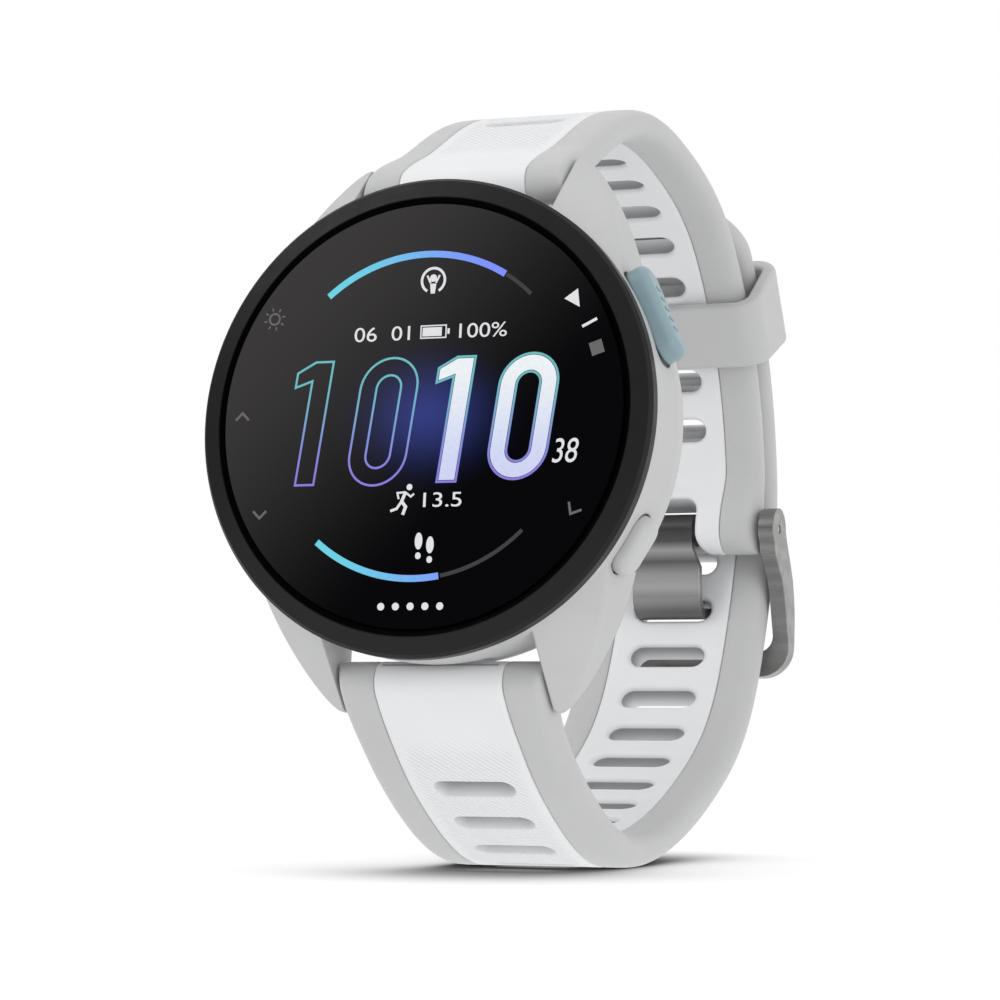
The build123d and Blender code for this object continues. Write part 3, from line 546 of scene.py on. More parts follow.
# ---------------------------------------------------------------- strap skins
class Skin:
    """Quads in strap coordinates: across, along, height."""

    def __init__(self, line):
        self.line = line
        self.points = []
        self.faces = []

    def row(self, points):
        start = len(self.points)
        self.points.extend(points)
        return list(range(start, len(self.points)))

    def bridge(self, a, b, closed=False):
        count = len(a)
        for i in range(count if closed else count - 1):
            j = (i + 1) % count
            self.faces.append((a[i], a[j], b[j], b[i]))

    def build(self, name, look, body, nodes):
        world = [self.line.place(*p) for p in self.points]
        piece = add_mesh(name, world, self.faces, look, body)
        uv = piece.data.uv_layers.new(name="strap")
        for loop in piece.data.loops:
            x, s, _ = self.points[loop.vertex_index]
            uv.data[loop.index].uv = (x * MM, s * self.line.outward * MM)
        outer, deep = [], []
        for x, s, h in self.points:
            share = h / max(0.01, self.line.thickness(s))
            outer.append(1.0 if share > 0.97 else 0.0)
            # deep marks the slot walls, where strap_ribs paints shade
            deep.append(1.0 if abs(share) < 0.7 and abs(x) < 0.95 * INLAY_FLAT else 0.0)
        for title, values in (("outer", outer), ("deep", deep)):
            piece.data.attributes.new(title, "FLOAT", "POINT").data.foreach_set("value", values)
        tidy_mesh(piece)
        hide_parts(*nodes)
        return piece


def stadium(x, y, flat_x):
    """Point and outward direction on the slot's outline for a point of its cell's outline."""
    straight = SLOT_HALF - SLOT_RADIUS
    if abs(x) <= flat_x:
        return (x * straight / flat_x, math.copysign(SLOT_RADIUS, y)), (0.0, math.copysign(1.0, y))
    half_y = SLOT_PITCH / 2
    run = INLAY_FLAT - flat_x
    total = 2 * run + 2 * half_y
    if abs(y) >= half_y - 1e-9:
        share = (abs(x) - flat_x) / total
        share = share if y > 0 else 1 - share
    else:
        share = (run + half_y - y) / total
    angle = math.pi / 2 - share * math.pi
    way = (math.copysign(1.0, x) * math.cos(angle), math.sin(angle))
    return (math.copysign(straight, x) + way[0] * SLOT_RADIUS, way[1] * SLOT_RADIUS), way


def rim_rows(skin, base, ways, closed):
    """The wall of an opening, rounded into the outer face and flared into the inner; returns its two ends."""
    sizes = ((1, 0.22, 0.0), (-1, 0.55, 0.12))   # side, rounding, extra width
    rows = []
    for side, rounding, draft in sizes:
        arcs = []
        for step in range(7):
            angle = step / 6 * math.pi / 2
            reach = draft + rounding * (1 - math.sin(angle))
            points = []
            for (x, s), way in zip(base, ways):
                px, ps = x + way[0] * reach, s + way[1] * reach
                full = skin.line.thickness(ps)
                points.append((px, ps, side * (full - min(rounding, 0.5 * full) * (1 - math.cos(angle)))))
            arcs.append(points)
        rows += arcs if side > 0 else arcs[::-1]
    made = [skin.row(points) for points in rows]
    for a, b in zip(made, made[1:]):
        skin.bridge(a, b, closed)
    return made[0], made[-1]


def span_face(skin, outline, rim, closed, side):
    """Face between a cell's outline and the rim of its opening, with three rows in between."""
    edge = skin.row([(x, s, side * skin.line.thickness(s)) for x, s in outline])
    rows = [edge]
    rim_points = [skin.points[i] for i in rim]
    for share in (0.4, 0.75, 0.93):
        mixed = []
        for (x, s), (rx, rs, _) in zip(outline, rim_points):
            px, ps = x + (rx - x) * share, s + (rs - s) * share
            mixed.append((px, ps, side * skin.line.thickness(ps)))
        rows.append(skin.row(mixed))
    rows.append(rim)
    for a, b in zip(rows, rows[1:]):
        skin.bridge(a, b, closed)


def slot_cell(skin, station):
    half = SLOT_PITCH / 2
    xs = np.linspace(INLAY_FLAT, -INLAY_FLAT, COLUMNS + 1)
    ys = np.linspace(half, -half, ROWS + 1)
    outline = [(x, half) for x in xs] + [(-INLAY_FLAT, y) for y in ys[1:]]
    outline += [(x, -half) for x in xs[::-1][1:]] + [(INLAY_FLAT, y) for y in ys[::-1][1:-1]]
    hole = [stadium(x, y, 3.7) for x, y in outline]
    base = [(p[0], station + p[1]) for p, way in hole]
    ways = [way for p, way in hole]
    first, last = rim_rows(skin, base, ways, True)
    placed = [(x, station + y) for x, y in outline]
    span_face(skin, placed, first, True, 1)
    span_face(skin, placed, last, True, -1)
    return [station + y for y in ys[::-1]]


def plain_run(skin, stations):
    """Both faces of the inlay over a run without slots."""
    xs = np.linspace(INLAY_FLAT, -INLAY_FLAT, COLUMNS + 1)
    for side in (1, -1):
        rows = [skin.row([(x, s, side * skin.line.thickness(s)) for x in xs]) for s in stations]
        for a, b in zip(rows, rows[1:]):
            skin.bridge(a, b)
    return list(stations)


def inlay_sides(skin, stations):
    """The rounded long edges of the inlay."""
    for side in (1, -1):
        rows = []
        for s in stations:
            full = skin.line.thickness(s)
            edge = min(INLAY_HALF - INLAY_FLAT, 0.6 * full)
            profile = [(INLAY_FLAT, full), (INLAY_FLAT + 0.7 * edge, full - 0.3 * edge)]
            profile.append((INLAY_FLAT + edge, full - edge))
            profile += [(x, -h) for x, h in profile[::-1]]
            rows.append(skin.row([(side * x, s, h) for x, h in profile]))
        for a, b in zip(rows, rows[1:]):
            skin.bridge(a, b)


def barrel_stations(radius, steps=10):
    """Distances from the far side of a barrel to its middle, close together where it curves."""
    return [-radius * math.cos(k / steps * math.pi / 2) for k in range(steps + 1)]


def even(first, last, step=0.8):
    return list(np.linspace(first, last, max(2, int(round(abs(last - first) / step)) + 1)))


def unique(values):
    made = []
    for v in sorted(values):
        if not made or v - made[-1] > 1e-4:
            made.append(v)
    return made


def close_end(skin, s):
    """Flat end of the inlay across its whole section."""
    xs = list(np.linspace(INLAY_FLAT, -INLAY_FLAT, COLUMNS + 1))
    full = skin.line.thickness(s)
    edge = INLAY_HALF - INLAY_FLAT
    side = [(INLAY_FLAT + 0.7 * edge, full - 0.3 * edge), (INLAY_HALF, full - edge)]
    side += [(x, -h) for x, h in side[::-1]]
    loop = [(x, s, full) for x in xs] + [(-x, s, h) for x, h in side]
    loop += [(x, s, -full) for x in xs[::-1]] + [(x, s, h) for x, h in side[::-1]]
    skin.faces.append(tuple(skin.row(loop)))


def long_inlay():
    skin = Skin(long_line)
    stations = []
    stations += plain_run(skin, barrel_stations(LUG_BARREL) + even(0, LONG_SLOTS[0] - SLOT_PITCH / 2)[1:])
    for station in LONG_SLOTS:
        stations += slot_cell(skin, station)
    end = long_line.length - TIP_MARGIN - 0.04
    stations += plain_run(skin, even(LONG_SLOTS[-1] + SLOT_PITCH / 2, end))
    inlay_sides(skin, unique(stations))
    close_end(skin, end)
    return skin.build("long_strap_inlay_rubber", "strap_white", "band", ["long_strap_inlay"])


NOTCH_HALF = 3.3
NOTCH_START = 2.75              # before the pin
NOTCH_CORNER = 1.3


def finger_round(beyond):
    """How far the notch widens towards the fingers' ends."""
    share = min(max((beyond - PIN_BARREL + 2.0) / 2.0, 0.0), 1.0)
    return 1.5 * (1 - math.sqrt(1 - share * share))


def short_inlay():
    skin = Skin(short_line)
    stations = plain_run(skin, barrel_stations(LUG_BARREL) + even(0, SHORT_SLOTS[0] - SLOT_PITCH / 2)[1:])
    for station in SHORT_SLOTS:
        stations += slot_cell(skin, station)
    top = short_line.length - NOTCH_START
    upper = top - 1.4
    stations += plain_run(skin, even(SHORT_SLOTS[-1] + SLOT_PITCH / 2, upper))
    ends = [short_line.length + v for v in sorted(-b for b in barrel_stations(PIN_BARREL))]
    fingers = unique(even(top + NOTCH_CORNER, short_line.length) + ends)[::-1]
    corner = [k / 6 for k in range(1, 6)]
    outline = [(-INLAY_FLAT, s) for s in fingers]
    base = [(-NOTCH_HALF - finger_round(s - short_line.length), s) for s in fingers]
    ways = [(-1.0, 0.0) for s in fingers]
    for k in corner:
        outline.append((-INLAY_FLAT, top + NOTCH_CORNER + (upper - top - NOTCH_CORNER) * k))
        way = (-math.cos(k * math.pi / 2), -math.sin(k * math.pi / 2))
        base.append((-NOTCH_HALF + NOTCH_CORNER * (1 + way[0]), top + NOTCH_CORNER * (1 + way[1])))
        ways.append(way)
    for x in np.linspace(-INLAY_FLAT, INLAY_FLAT, COLUMNS + 1):
        outline.append((x, upper))
        base.append((x / INLAY_FLAT * (NOTCH_HALF - NOTCH_CORNER), top))
        ways.append((0.0, -1.0))
    mirrored = len(fingers) + len(corner)
    outline += [(-x, s) for x, s in outline[:mirrored][::-1]]
    base += [(-x, s) for x, s in base[:mirrored][::-1]]
    ways += [(-x, s) for x, s in ways[:mirrored][::-1]]
    first, last = rim_rows(skin, base, ways, False)
    span_face(skin, outline, first, False, 1)
    span_face(skin, outline, last, False, -1)
    stations += [s for x, s in outline[:mirrored + 1]]
    inlay_sides(skin, unique(stations))
    return skin.build("short_strap_inlay_rubber", "strap_white", "band", ["short_strap_inlay"])


def rail_section(line, s, start, width, corner):
    """Closed outline of a rail, from its inner upper edge round its outer side to its inner lower edge."""
    full = line.thickness(s)
    groove = min(0.2, 0.4 * full) if start else 0.0
    corner = min(corner, 0.98 * (width - start)) if width > start else 0.0
    points = []
    if start:
        points += [(start, full - groove), (start + 0.3 * groove, full - 0.3 * groove)]
    points += [(start + groove, full), (start + groove + 0.4 * (width - corner - start - groove), full)]
    for k in range(15):
        angle = math.pi / 2 * (1 - k / 7)
        across = math.copysign(abs(math.cos(angle)) ** 0.8, math.cos(angle))
        up = math.copysign(abs(math.sin(angle)) ** 0.85, math.sin(angle))
        points.append((width - corner + corner * across, full * up))
    points += [(x, -h) for x, h in points[:len(points) - 15][::-1]]
    return points


def rails(line, name, node, end):
    skin = Skin(line)
    if end == "tip":
        join = line.length - TIP_MARGIN
        tip = [line.length - TIP_LENGTH * (1 - math.sin(k / 16 * math.pi / 2)) for k in range(17)]
        stations = unique(barrel_stations(LUG_BARREL) + even(0, join) + [s for s in tip if s < join])
        plates = unique([join] + [s for s in tip if s > join])
    else:
        ends = [line.length - v for v in barrel_stations(PIN_BARREL)]
        stations = unique(barrel_stations(LUG_BARREL) + even(0, line.length) + ends)
        plates = []

    def width(s):
        beyond = s - (line.length - TIP_LENGTH)
        if end == "tip" and beyond > 0:
            return STRAP_HALF * math.sqrt(max(0.0, 1 - (beyond / TIP_LENGTH) ** 2))
        return STRAP_HALF

    for side in (1, -1):
        rows = []
        for s in stations:
            corner = 0.9 + 1.3 * ease((s - 1.0) / 9.0)
            section = rail_section(line, s, RAIL_START, width(s), corner)
            rows.append(skin.row([(side * x, s, h) for x, h in section]))
        for a, b in zip(rows, rows[1:]):
            skin.bridge(a, b, True)
        if plates:
            last = rows[-1]
            rows = []
            for s in plates:
                section = rail_section(line, s, 0.0, width(s), 2.2)
                padded = [section[0]] * 2 + section + [section[-1]] * 2
                rows.append(skin.row([(side * x, s, h) for x, h in padded]))
            skin.bridge(last, rows[0], True)
            for a, b in zip(rows, rows[1:]):
                skin.bridge(a, b)
    return skin.build(name, "strap_grey", "band", [node])


long_inlay()
short_inlay()
rails(long_line, "long_strap_rails_rubber", "long_strap_rails", "tip")
rails(short_line, "short_strap_rails_rubber", "short_strap_rails", "pin")


# ---------------------------------------------------------------- keeper
KEEPER_ANGLE = 35.5             # of its middle, about the wrist opening
KEEPER_RADII = (35.5, 44.8)     # middle lines of its inner and outer wall
KEEPER_SIDE = 0.75              # from its outer face to a side wall's middle line
KEEPER_CORNER = 2.0             # radius of that line's corners
KEEPER_WALL = (0.75, 3.9)       # half thickness of the wall and half width of the loop
WALL_CORNER = 0.45
KEEPER_SPACING = 1.2            # longest gap between sections


def rounded_box(half_x, half_y, corner, steps):
    """Points and outward directions round a rounded rectangle."""
    made = []
    for turn in range(4):
        cx = (half_x - corner) * (1 if turn in (0, 3) else -1)
        cy = (half_y - corner) * (1 if turn in (0, 1) else -1)
        for k in range(steps + 1):
            angle = (turn + k / steps) * math.pi / 2
            way = (math.cos(angle), math.sin(angle))
            made.append(((cx + corner * way[0], cy + corner * way[1]), way))
    return made


def keeper():
    """Rubber loop round both straps: a rounded band swept round the rounded opening."""
    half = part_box("keeper")[1].x / MM - KEEPER_SIDE
    inner, outer = KEEPER_RADII
    middle, tall = (inner + outer) / 2, (outer - inner) / 2
    ring = rounded_box(half, tall, KEEPER_CORNER, 8)
    dense = []
    for ((ax, ay), way), ((bx, by), _) in zip(ring, ring[1:] + ring[:1]):
        pieces = max(1, int(math.hypot(bx - ax, by - ay) / KEEPER_SPACING))
        for k in range(pieces):
            t = k / pieces
            dense.append((ax + (bx - ax) * t, middle + ay + (by - ay) * t, way))
    section = [point for point, _ in rounded_box(*KEEPER_WALL, WALL_CORNER, 6)]
    points, faces = [], []
    for x, r, way in dense:
        for out, across in section:
            radius = r + way[1] * out
            angle = KEEPER_ANGLE + across / middle / TURN
            points.append((x + way[0] * out, *loop_point(radius, angle)))
    n, m = len(dense), len(section)
    for i in range(n):
        for j in range(m):
            a, b = i * m, (i + 1) % n * m
            faces.append((a + j, a + (j + 1) % m, b + (j + 1) % m, b + j))
    piece = add_mesh("keeper_rubber", points, faces, "strap_grey", "loop_keeper")
    tidy_mesh(piece, 0.0005)
    weighted_normals(piece)
    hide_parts("keeper")


keeper()


# ---------------------------------------------------------------- dial marks
FACE = -0.02                    # depth of the marks, just in front of the glass


class Marks:
    """Flat marks on the dial, in (X, Z) millimetres."""

    def __init__(self):
        self.points = []
        self.faces = []

    def add(self, points):
        start = len(self.points)
        self.points += [(x, FACE, z) for x, z in points]
        return start

    def between(self, a, b, closed=True):
        n = len(a)
        first, second = self.add(a), self.add(b)
        for i in range(n if closed else n - 1):
            j = (i + 1) % n
            self.faces.append((first + i, first + j, second + j, second + i))

    def fill(self, outline):
        first = self.add(outline)
        self.faces.append(tuple(range(first, first + len(outline))))

    def stroke(self, line, width, closed=False):
        p = np.array(line, float)
        sides = corner_ways(p, closed) * width / 2
        self.between([tuple(q) for q in p + sides], [tuple(q) for q in p - sides], closed)

    def build(self, name, look):
        piece = add_mesh(name, self.points, self.faces, look, "head", smooth=False)
        work = bmesh.new()
        work.from_mesh(piece.data)
        bmesh.ops.triangulate(work, faces=[f for f in work.faces if len(f.verts) > 4])
        for f in work.faces:
            f.normal_update()
            if f.normal.y > 0:
                f.normal_flip()
        work.to_mesh(piece.data)
        work.free()
        return piece


def circle(cx, cz, radius, first=0.0, last=360.0, steps=48):
    return [(cx + radius * math.cos(a * TURN), cz + radius * math.sin(a * TURN))
            for a in np.linspace(first, last, steps)]


def lean(points, middle=-0.5):
    """Slants upright digits to the right."""
    return [(x + 0.125 * (z - middle), z) for x, z in points]


def pill(cx, cz, half_width, half_height):
    """Upright rounded outline with half-round ends."""
    straight = half_height - half_width
    top = circle(cx, cz + straight, half_width, 0, 180, 21)
    return top + circle(cx, cz - straight, half_width, 180, 360, 21)


def one(edge):
    """Outline of a digit one whose stem ends at edge."""
    return [(edge, 5.05), (edge - 1.7, 5.05), (edge - 3.35, 4.1), (edge - 3.35, 2.8), (edge - 1.8, 3.35),
            (edge - 1.8, -6.05), (edge, -6.05)]


def corner_ways(points, closed=True):
    """For each corner of a line, its sideways direction, lengthened so that the width stays even."""
    count = len(points)
    made = []
    for i in range(count):
        before = points[i] - points[i - 1] if i or closed else points[1] - points[0]
        after = points[(i + 1) % count] - points[i] if i < count - 1 or closed else points[-1] - points[-2]
        a, b = before / np.linalg.norm(before), after / np.linalg.norm(after)
        way = (a + b) / max(1e-6, np.linalg.norm(a + b))
        made.append(np.array([-way[1], way[0]]) / max(0.4, float(way @ b)))
    return np.array(made)


def shrink(outline, by):
    """Outline moved inwards by a small distance."""
    p = np.array(outline, float)
    area = 0.5 * np.sum(p[:, 0] * np.roll(p[:, 1], -1) - np.roll(p[:, 0], -1) * p[:, 1])
    sense = 1 if area > 0 else -1
    return [tuple(q) for q in p + sense * by * corner_ways(p)]


DIGIT_LINE = 0.2
DIGIT_SPAN = (-6.0, 5.0)        # heights over which the digits' colour changes
HOUR_ONE, MINUTE_ONE = one(-9.27), one(4.42)
HOUR_NOUGHT = (pill(-3.46, -0.53, 2.74, 5.7), pill(-3.46, -0.53, 1.18, 4.15))
MINUTE_NOUGHT = (pill(9.82, -0.42, 2.74, 5.55), pill(9.82, -0.45, 1.1, 3.95))
outlines = Marks()
for outline in (HOUR_ONE, *HOUR_NOUGHT, MINUTE_ONE, *MINUTE_NOUGHT):
    outlines.stroke(lean(outline), DIGIT_LINE, True)
line_look = lit_gradient("digit_lines", "Z", *DIGIT_SPAN, (0.24, 0.2, 0.7), (0.14, 0.5, 0.5))
outlines.build("dial_digit_lines", line_look)
solid = Marks()
solid.fill(lean(shrink(MINUTE_ONE, 0.15)))
solid.between(lean(pill(9.82, -0.42, 2.59, 5.4)), lean(pill(9.82, -0.45, 1.25, 4.1)))
fill_look = lit_gradient("digit_fill", "Z", *DIGIT_SPAN, (0.62, 0.66, 0.9), (0.86, 0.9, 0.92), 0.95)
solid.build("dial_digit_fill", fill_look)



def gauge_arcs(name, look, arcs):
    """Curved bars of the dial's two gauges, each given by its outer radius, thickness and end angles."""
    made = Marks()
    for radius, thickness, first, last in arcs:
        made.between(circle(0, 0, radius, first, last), circle(0, 0, radius - thickness, first, last), False)
    made.build(name, look)


gauge_arcs("dial_gauges", lit_gradient("gauge_blue", "X", -9.5, 7.5, (0.14, 0.62, 0.74), (0.2, 0.25, 0.95)),
           ((14.75, 0.6, 130.5, 58.5), (14.85, 0.6, -129.8, -80.0)))
gauge_arcs("dial_gauge_rests", lit("gauge_grey", (0.045, 0.045, 0.045)),
           ((14.65, 0.35, 58.0, 46.0), (14.75, 0.35, -79.4, -45.7)))

marks_look = lit("mark_white", (0.72, 0.73, 0.75))


def disc(cx, cz, radius, steps):
    """Filled round dot's outline, without its last point twice."""
    return circle(cx, cz, radius, 0, 360 - 360 / steps, steps)


def battery_sign(marks):
    marks.stroke([(-0.25, 6.85), (2.15, 6.85), (2.15, 7.95), (-0.25, 7.95)], 0.12, True)
    marks.fill([(-0.1, 7.0), (1.75, 7.0), (1.75, 7.8), (-0.1, 7.8)])
    marks.fill([(2.28, 7.15), (2.5, 7.15), (2.5, 7.65), (2.28, 7.65)])


def effort_sign(marks):
    """Open ring round a figure with raised arms."""
    marks.between(circle(0.7, 12.05, 1.22, -60, 240), circle(0.7, 12.05, 0.98, -60, 240), False)
    marks.fill(disc(0.7, 12.25, 0.34, 24))
    marks.fill([(0.4, 11.75), (1.0, 11.75), (0.9, 10.85), (0.5, 10.85)])
    marks.stroke([(0.1, 12.5), (0.45, 11.8)], 0.18)
    marks.stroke([(1.3, 12.5), (0.95, 11.8)], 0.18)


def runner_sign(marks):
    marks.fill(disc(-0.62, -6.45, 0.28, 24))
    marks.stroke([(-0.95, -6.85), (-1.3, -7.7), (-0.9, -8.2), (-1.15, -8.9)], 0.3)
    marks.stroke([(-1.3, -7.7), (-1.75, -8.35), (-2.35, -8.55)], 0.24)
    marks.stroke([(-1.6, -7.5), (-1.75, -6.95), (-1.0, -6.9), (-0.45, -7.3), (-0.15, -7.05)], 0.18)


def footprint(marks, cx, cz):
    """Sole and heel of one print."""
    for drop, half_width, half_height in ((0.0, 0.36, 0.75), (1.3, 0.27, 0.3)):
        marks.fill([(cx + half_width * x, cz - drop + half_height * z) for x, z in disc(0, 0, 1, 24)])


signs = Marks()
battery_sign(signs)
effort_sign(signs)
runner_sign(signs)
footprint(signs, 0.5, -11.25)
footprint(signs, 1.6, -11.6)
signs.build("dial_signs", marks_look)


def numbers(name, text, x, z, size, look, slant=0.0, stretch=1.25):
    """Digits in Blender's own typeface, laid flat on the dial."""
    curve = bpy.data.curves.new(name, "FONT")
    curve.body = text
    curve.size = size * MM
    curve.shear = slant
    curve.align_x = "LEFT"
    source = bpy.data.objects.new(name + "_text", curve)
    scene.collection.objects.link(source)
    bpy.context.view_layer.update()
    evaluated = source.evaluated_get(bpy.context.evaluated_depsgraph_get())
    mesh = bpy.data.meshes.new_from_object(evaluated)
    bpy.data.objects.remove(source)
    turned = Matrix(((stretch, 0, 0, x * MM), (0, 0, 0, FACE * MM), (0, 1, 0, z * MM), (0, 0, 0, 1)))
    for vertex in mesh.vertices:
        vertex.co = turned @ vertex.co
    mesh.name = name
    mesh.update()
    mesh.materials.clear()
    mesh.materials.append(look.material)
    piece = bpy.data.objects.new(name, mesh)
    scene.collection.objects.link(piece)
    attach(piece, "head")


numbers("dial_month", "06", -6.75, 6.75, 1.85, marks_look)
numbers("dial_day", "01", -3.15, 6.75, 1.85, marks_look)
numbers("dial_charge", "100%", 2.95, 6.75, 1.85, marks_look)
numbers("dial_distance", "13.5", 0.25, -8.25, 1.85, marks_look, stretch=1.35)
numbers("dial_seconds", "38", 12.5, -4.6, 3.05, marks_look, slant=0.2, stretch=0.8)

# ring of button marks on the black border: signs instead of words
border = Marks()


def ring_point(angle, radius, dx, dz):
    """Point placed by a turned local frame: dx round the dial, dz outwards."""
    c, s = math.cos(angle * TURN), math.sin(angle * TURN)
    return ((radius + dz) * c - dx * s, (radius + dz) * s + dx * c)


border.fill([ring_point(34.5, 17.2, *p) for p in ((-0.85, 0.0), (0.65, 0.75), (0.65, -0.75))])
border.stroke([ring_point(26.0, 17.4, 0, -0.75), ring_point(26.0, 17.4, 0, 0.75)], 0.26)
for k in range(5):
    border.fill(circle(-2.8 + 1.4 * k, -17.0, 0.34, 0, 340, 18))
border.build("border_marks_bright", marks_look)
dim = Marks()
dim.fill([ring_point(18.2, 17.25, *p) for p in ((-0.6, -0.6), (0.6, -0.6), (0.6, 0.6), (-0.6, 0.6))])
dim.stroke([ring_point(-31.0, 17.2, *p) for p in ((0.5, -0.7), (-0.3, 0.0), (0.5, 0.7))], 0.22)
dim.stroke([ring_point(148.0, 17.3, *p) for p in circle(0, 0, 0.5, 0, 340, 20)], 0.18, True)
for k in range(8):
    a = k * 45 * TURN
    dim.stroke([ring_point(148.0, 17.3, 0.75 * math.cos(a), 0.75 * math.sin(a)),
                ring_point(148.0, 17.3, 1.05 * math.cos(a), 1.05 * math.sin(a))], 0.14)
dim.stroke([(-18.0, 0.0), (-17.35, 0.65), (-16.7, 0.0)], 0.22)
dim.stroke([(-15.75, -8.3), (-15.1, -8.95), (-14.45, -8.3)], 0.22)
dim.build("border_marks_dim", lit("mark_dim", (0.13, 0.13, 0.13)))


# ---------------------------------------------------------------- raised strokes on the start button
START_ANGLE = 25.5              # of the start button, round the head
START_FACE = 22.9               # distance of its face from the head's axis
BUTTON_DEPTH = 5.6
STROKE_LAYERS = ((0.2, -0.05), (0.2, 0.02), (0.12, 0.07))       # radius, and height over the face
STROKE_HALF = 0.35              # straight half of a stroke
STROKE_SIDES = 16


def start_strokes():
    """Five short raised strokes along the start button's face, in place of lettering."""
    angle = START_ANGLE * TURN
    out = np.array([math.cos(angle), 0, math.sin(angle)])
    round_way = np.array([-math.sin(angle), 0, math.cos(angle)])
    deep = np.array([0, 1.0, 0])
    points, faces = [], []
    for k in range(5):
        centre = out * START_FACE + deep * BUTTON_DEPTH + round_way * (2.0 - k)
        first = len(points)
        for radius, lift in STROKE_LAYERS:
            for step in range(STROKE_SIDES):
                a = step / STROKE_SIDES * 2 * math.pi
                along = radius * math.sin(a) + math.copysign(STROKE_HALF, math.sin(a))
                spot = centre + round_way * radius * math.cos(a) + deep * along
                points.append(tuple(spot + out * lift))
        for level in range(2):
            for i in range(STROKE_SIDES):
                j = (i + 1) % STROKE_SIDES
                a = first + STROKE_SIDES * level
                b = a + STROKE_SIDES
                faces.append((a + i, a + j, b + j, b + i))
        top = first + 2 * STROKE_SIDES
        faces.append(tuple(range(top, top + STROKE_SIDES)))
        faces.append(tuple(range(first + STROKE_SIDES - 1, first - 1, -1)))
    piece = add_mesh("start_button_strokes", points, faces, "button_blue", "start_stop_key")
    tidy_mesh(piece)


start_strokes()

# ---------------------------------------------------------------- finishes of the CAD nodes
for row in frame["record"]["subparts"]:
    node = frame["nodes"][row["node"]]
    node.data.materials.clear()
    finish = "tongue_steel" if row["node"] == "buckle_tongue" else row["material_slot"]
    node.data.materials.append(looks[finish].material)

# ---------------------------------------------------------------- floor, light and camera
WHITE = (1.0, 1.0, 1.0, 1.0)
UNDER_WRIST = Vector((0.0, 0.03, 0.0))
FLOOR_WAY = Vector((0.0, -0.119, 0.993)).normalized()           # the band's resting plane
FLOOR_DROP = -0.0409 + 0.119 * 0.03
FLOOR_HALF = 3.0


def floor_look():
    """White floor that glows evenly, with a painted soft contact shadow under the band, seen only by the
    camera.
    """
    made = Shader("floor_white", (0.02, 0.02, 0.02), 0.7, specular=0.0)
    occlusion = made.node("ShaderNodeAmbientOcclusion", Distance=0.035)
    occlusion.samples = 12
    away = made.vector("LENGTH", made.coordinates.outputs["Object"], output="Value")
    near = made.ramp(away, 0.014, 0.036, 1.0, 0.0)
    # painted shadow: the glow is darkened by occlusion near the band, for camera rays only
    darkness = made.math("SUBTRACT", 1.0, made.math("POWER", occlusion.outputs["AO"], 1.4))
    seen = made.node("ShaderNodeLightPath").outputs["Is Camera Ray"]
    shadow = made.math("MULTIPLY", made.math("MULTIPLY", near, darkness), seen)
    shade = made.math("SUBTRACT", 1.0, shadow)
    glow = made.node("ShaderNodeCombineXYZ", X=shade, Y=shade, Z=shade).outputs[0]
    made.feed(made.surface, "Emission Color", glow)
    made.surface.inputs["Emission Strength"].default_value = 1.0
    return made


def lay_floor():
    mesh = bpy.data.meshes.new("floor")
    corners = [(x * FLOOR_HALF, y * FLOOR_HALF, 0) for x, y in ((-1, -1), (1, -1), (1, 1), (-1, 1))]
    mesh.from_pydata(corners, [], [(0, 1, 2, 3)])
    mesh.materials.append(floor_look().material)
    floor = bpy.data.objects.new("floor", mesh)
    scene.collection.objects.link(floor)
    turn = FLOOR_WAY.to_track_quat("Z", "Y").to_matrix().to_4x4()
    floor.matrix_world = Matrix.Translation(UNDER_WRIST + FLOOR_WAY * FLOOR_DROP) @ turn


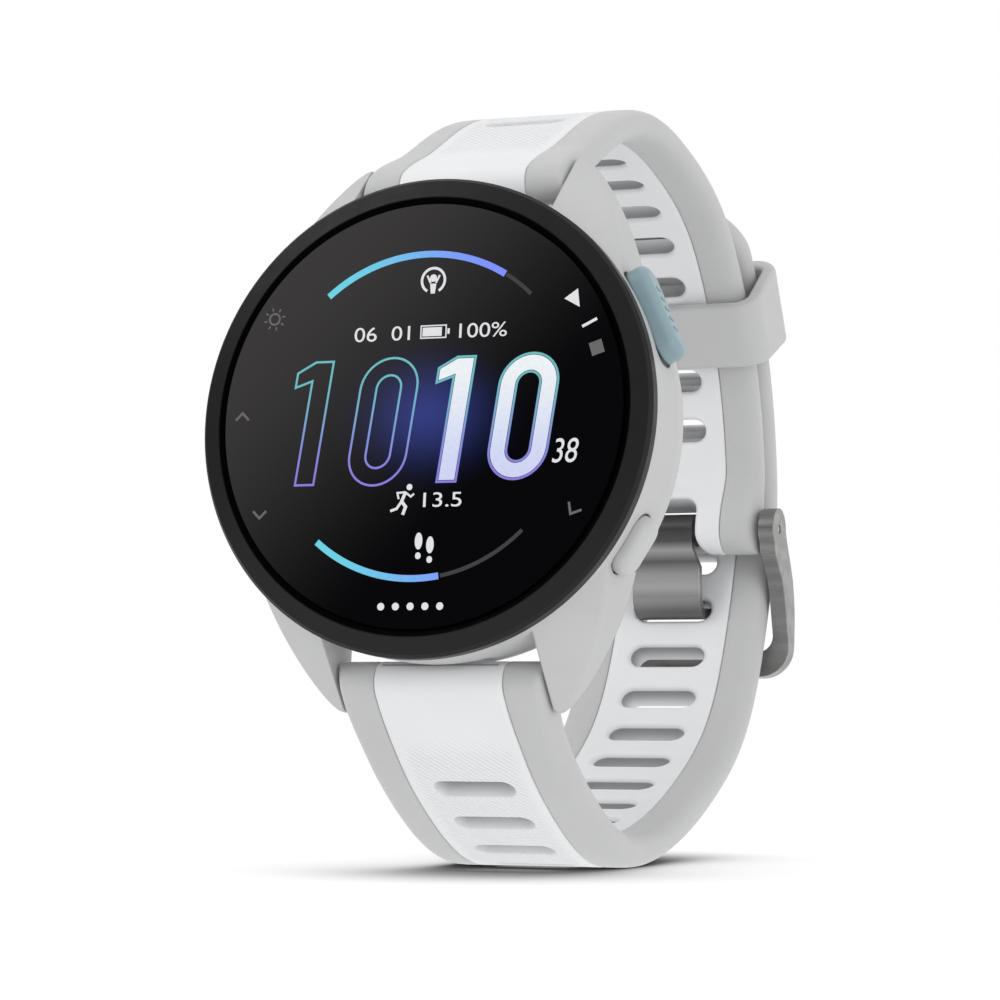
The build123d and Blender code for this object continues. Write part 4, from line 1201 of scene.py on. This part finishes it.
def studio():
    """White to the camera, even light on the watch, and a brighter side in its reflections."""
    world = bpy.data.worlds.new("studio")
    scene.world = world
    world.use_nodes = True
    nodes, links = world.node_tree.nodes, world.node_tree.links

    def shine(strength):
        made = nodes.new("ShaderNodeBackground")
        made.inputs["Color"].default_value = WHITE
        made.inputs["Strength"].default_value = strength
        return made

    def switch(share, first, second):
        made = nodes.new("ShaderNodeMixShader")
        for place, socket in enumerate((share, first, second)):
            links.new(socket, made.inputs[place])
        return made.outputs[0]

    even, bright, mirrored = shine(0.93), shine(1.0), shine(1.0)
    aim = nodes.new("ShaderNodeVectorMath")
    aim.operation = "DOT_PRODUCT"
    aim.inputs[1].default_value = (0.62, 0.45, 0.64)
    links.new(nodes.new("ShaderNodeTexCoord").outputs["Generated"], aim.inputs[0])
    spread = nodes.new("ShaderNodeMapRange")
    spread.interpolation_type = "SMOOTHSTEP"
    for place, value in enumerate((-0.35, 0.55, 0.06, 1.0), 1):
        spread.inputs[place].default_value = value
    links.new(aim.outputs["Value"], spread.inputs[0])
    links.new(spread.outputs[0], mirrored.inputs["Strength"])
    rays = nodes.new("ShaderNodeLightPath").outputs
    lighting = switch(rays["Is Glossy Ray"], even.outputs[0], mirrored.outputs[0])
    links.new(switch(rays["Is Camera Ray"], lighting, bright.outputs[0]), nodes["World Output"].inputs[0])


lay_floor()
studio()


def area(name, place, target, size, power):
    light = bpy.data.lights.new(name, "AREA")
    light.shape = "DISK"
    light.size = size
    light.energy = power
    lamp = bpy.data.objects.new(name, light)
    scene.collection.objects.link(lamp)
    lamp.location = place
    lamp.rotation_mode = "QUATERNION"
    lamp.rotation_quaternion = (Vector(target) - Vector(place)).to_track_quat("-Z", "Y")


area("key", (-0.3, -0.3, 0.3), (0, 0.03, 0), 0.3, 0.55)
area("fill", (0.4, -0.3, -0.02), (0, 0.03, 0), 0.3, 0.45)

# the camera stands low in front, towards 4 o'clock; its own axes come before its place
camera = bpy.data.objects.new("camera", bpy.data.cameras.new("camera"))
scene.collection.objects.link(camera)
scene.camera = camera
camera.data.lens = 122.4
camera.data.sensor_width = 36.0
camera.data.clip_start = 0.01
camera.data.clip_end = 20.0
right = (0.9252, 0.3767, 0.0446, 0)
up = (0.0210, -0.1683, 0.9855, 0)
backward = (0.3788, -0.9109, -0.1636, 0)
place = (0.1194, -0.2679, -0.0559, 1)
camera.matrix_world = Matrix((right, up, backward, place)).transposed()
scene.view_settings.view_transform = "Standard"
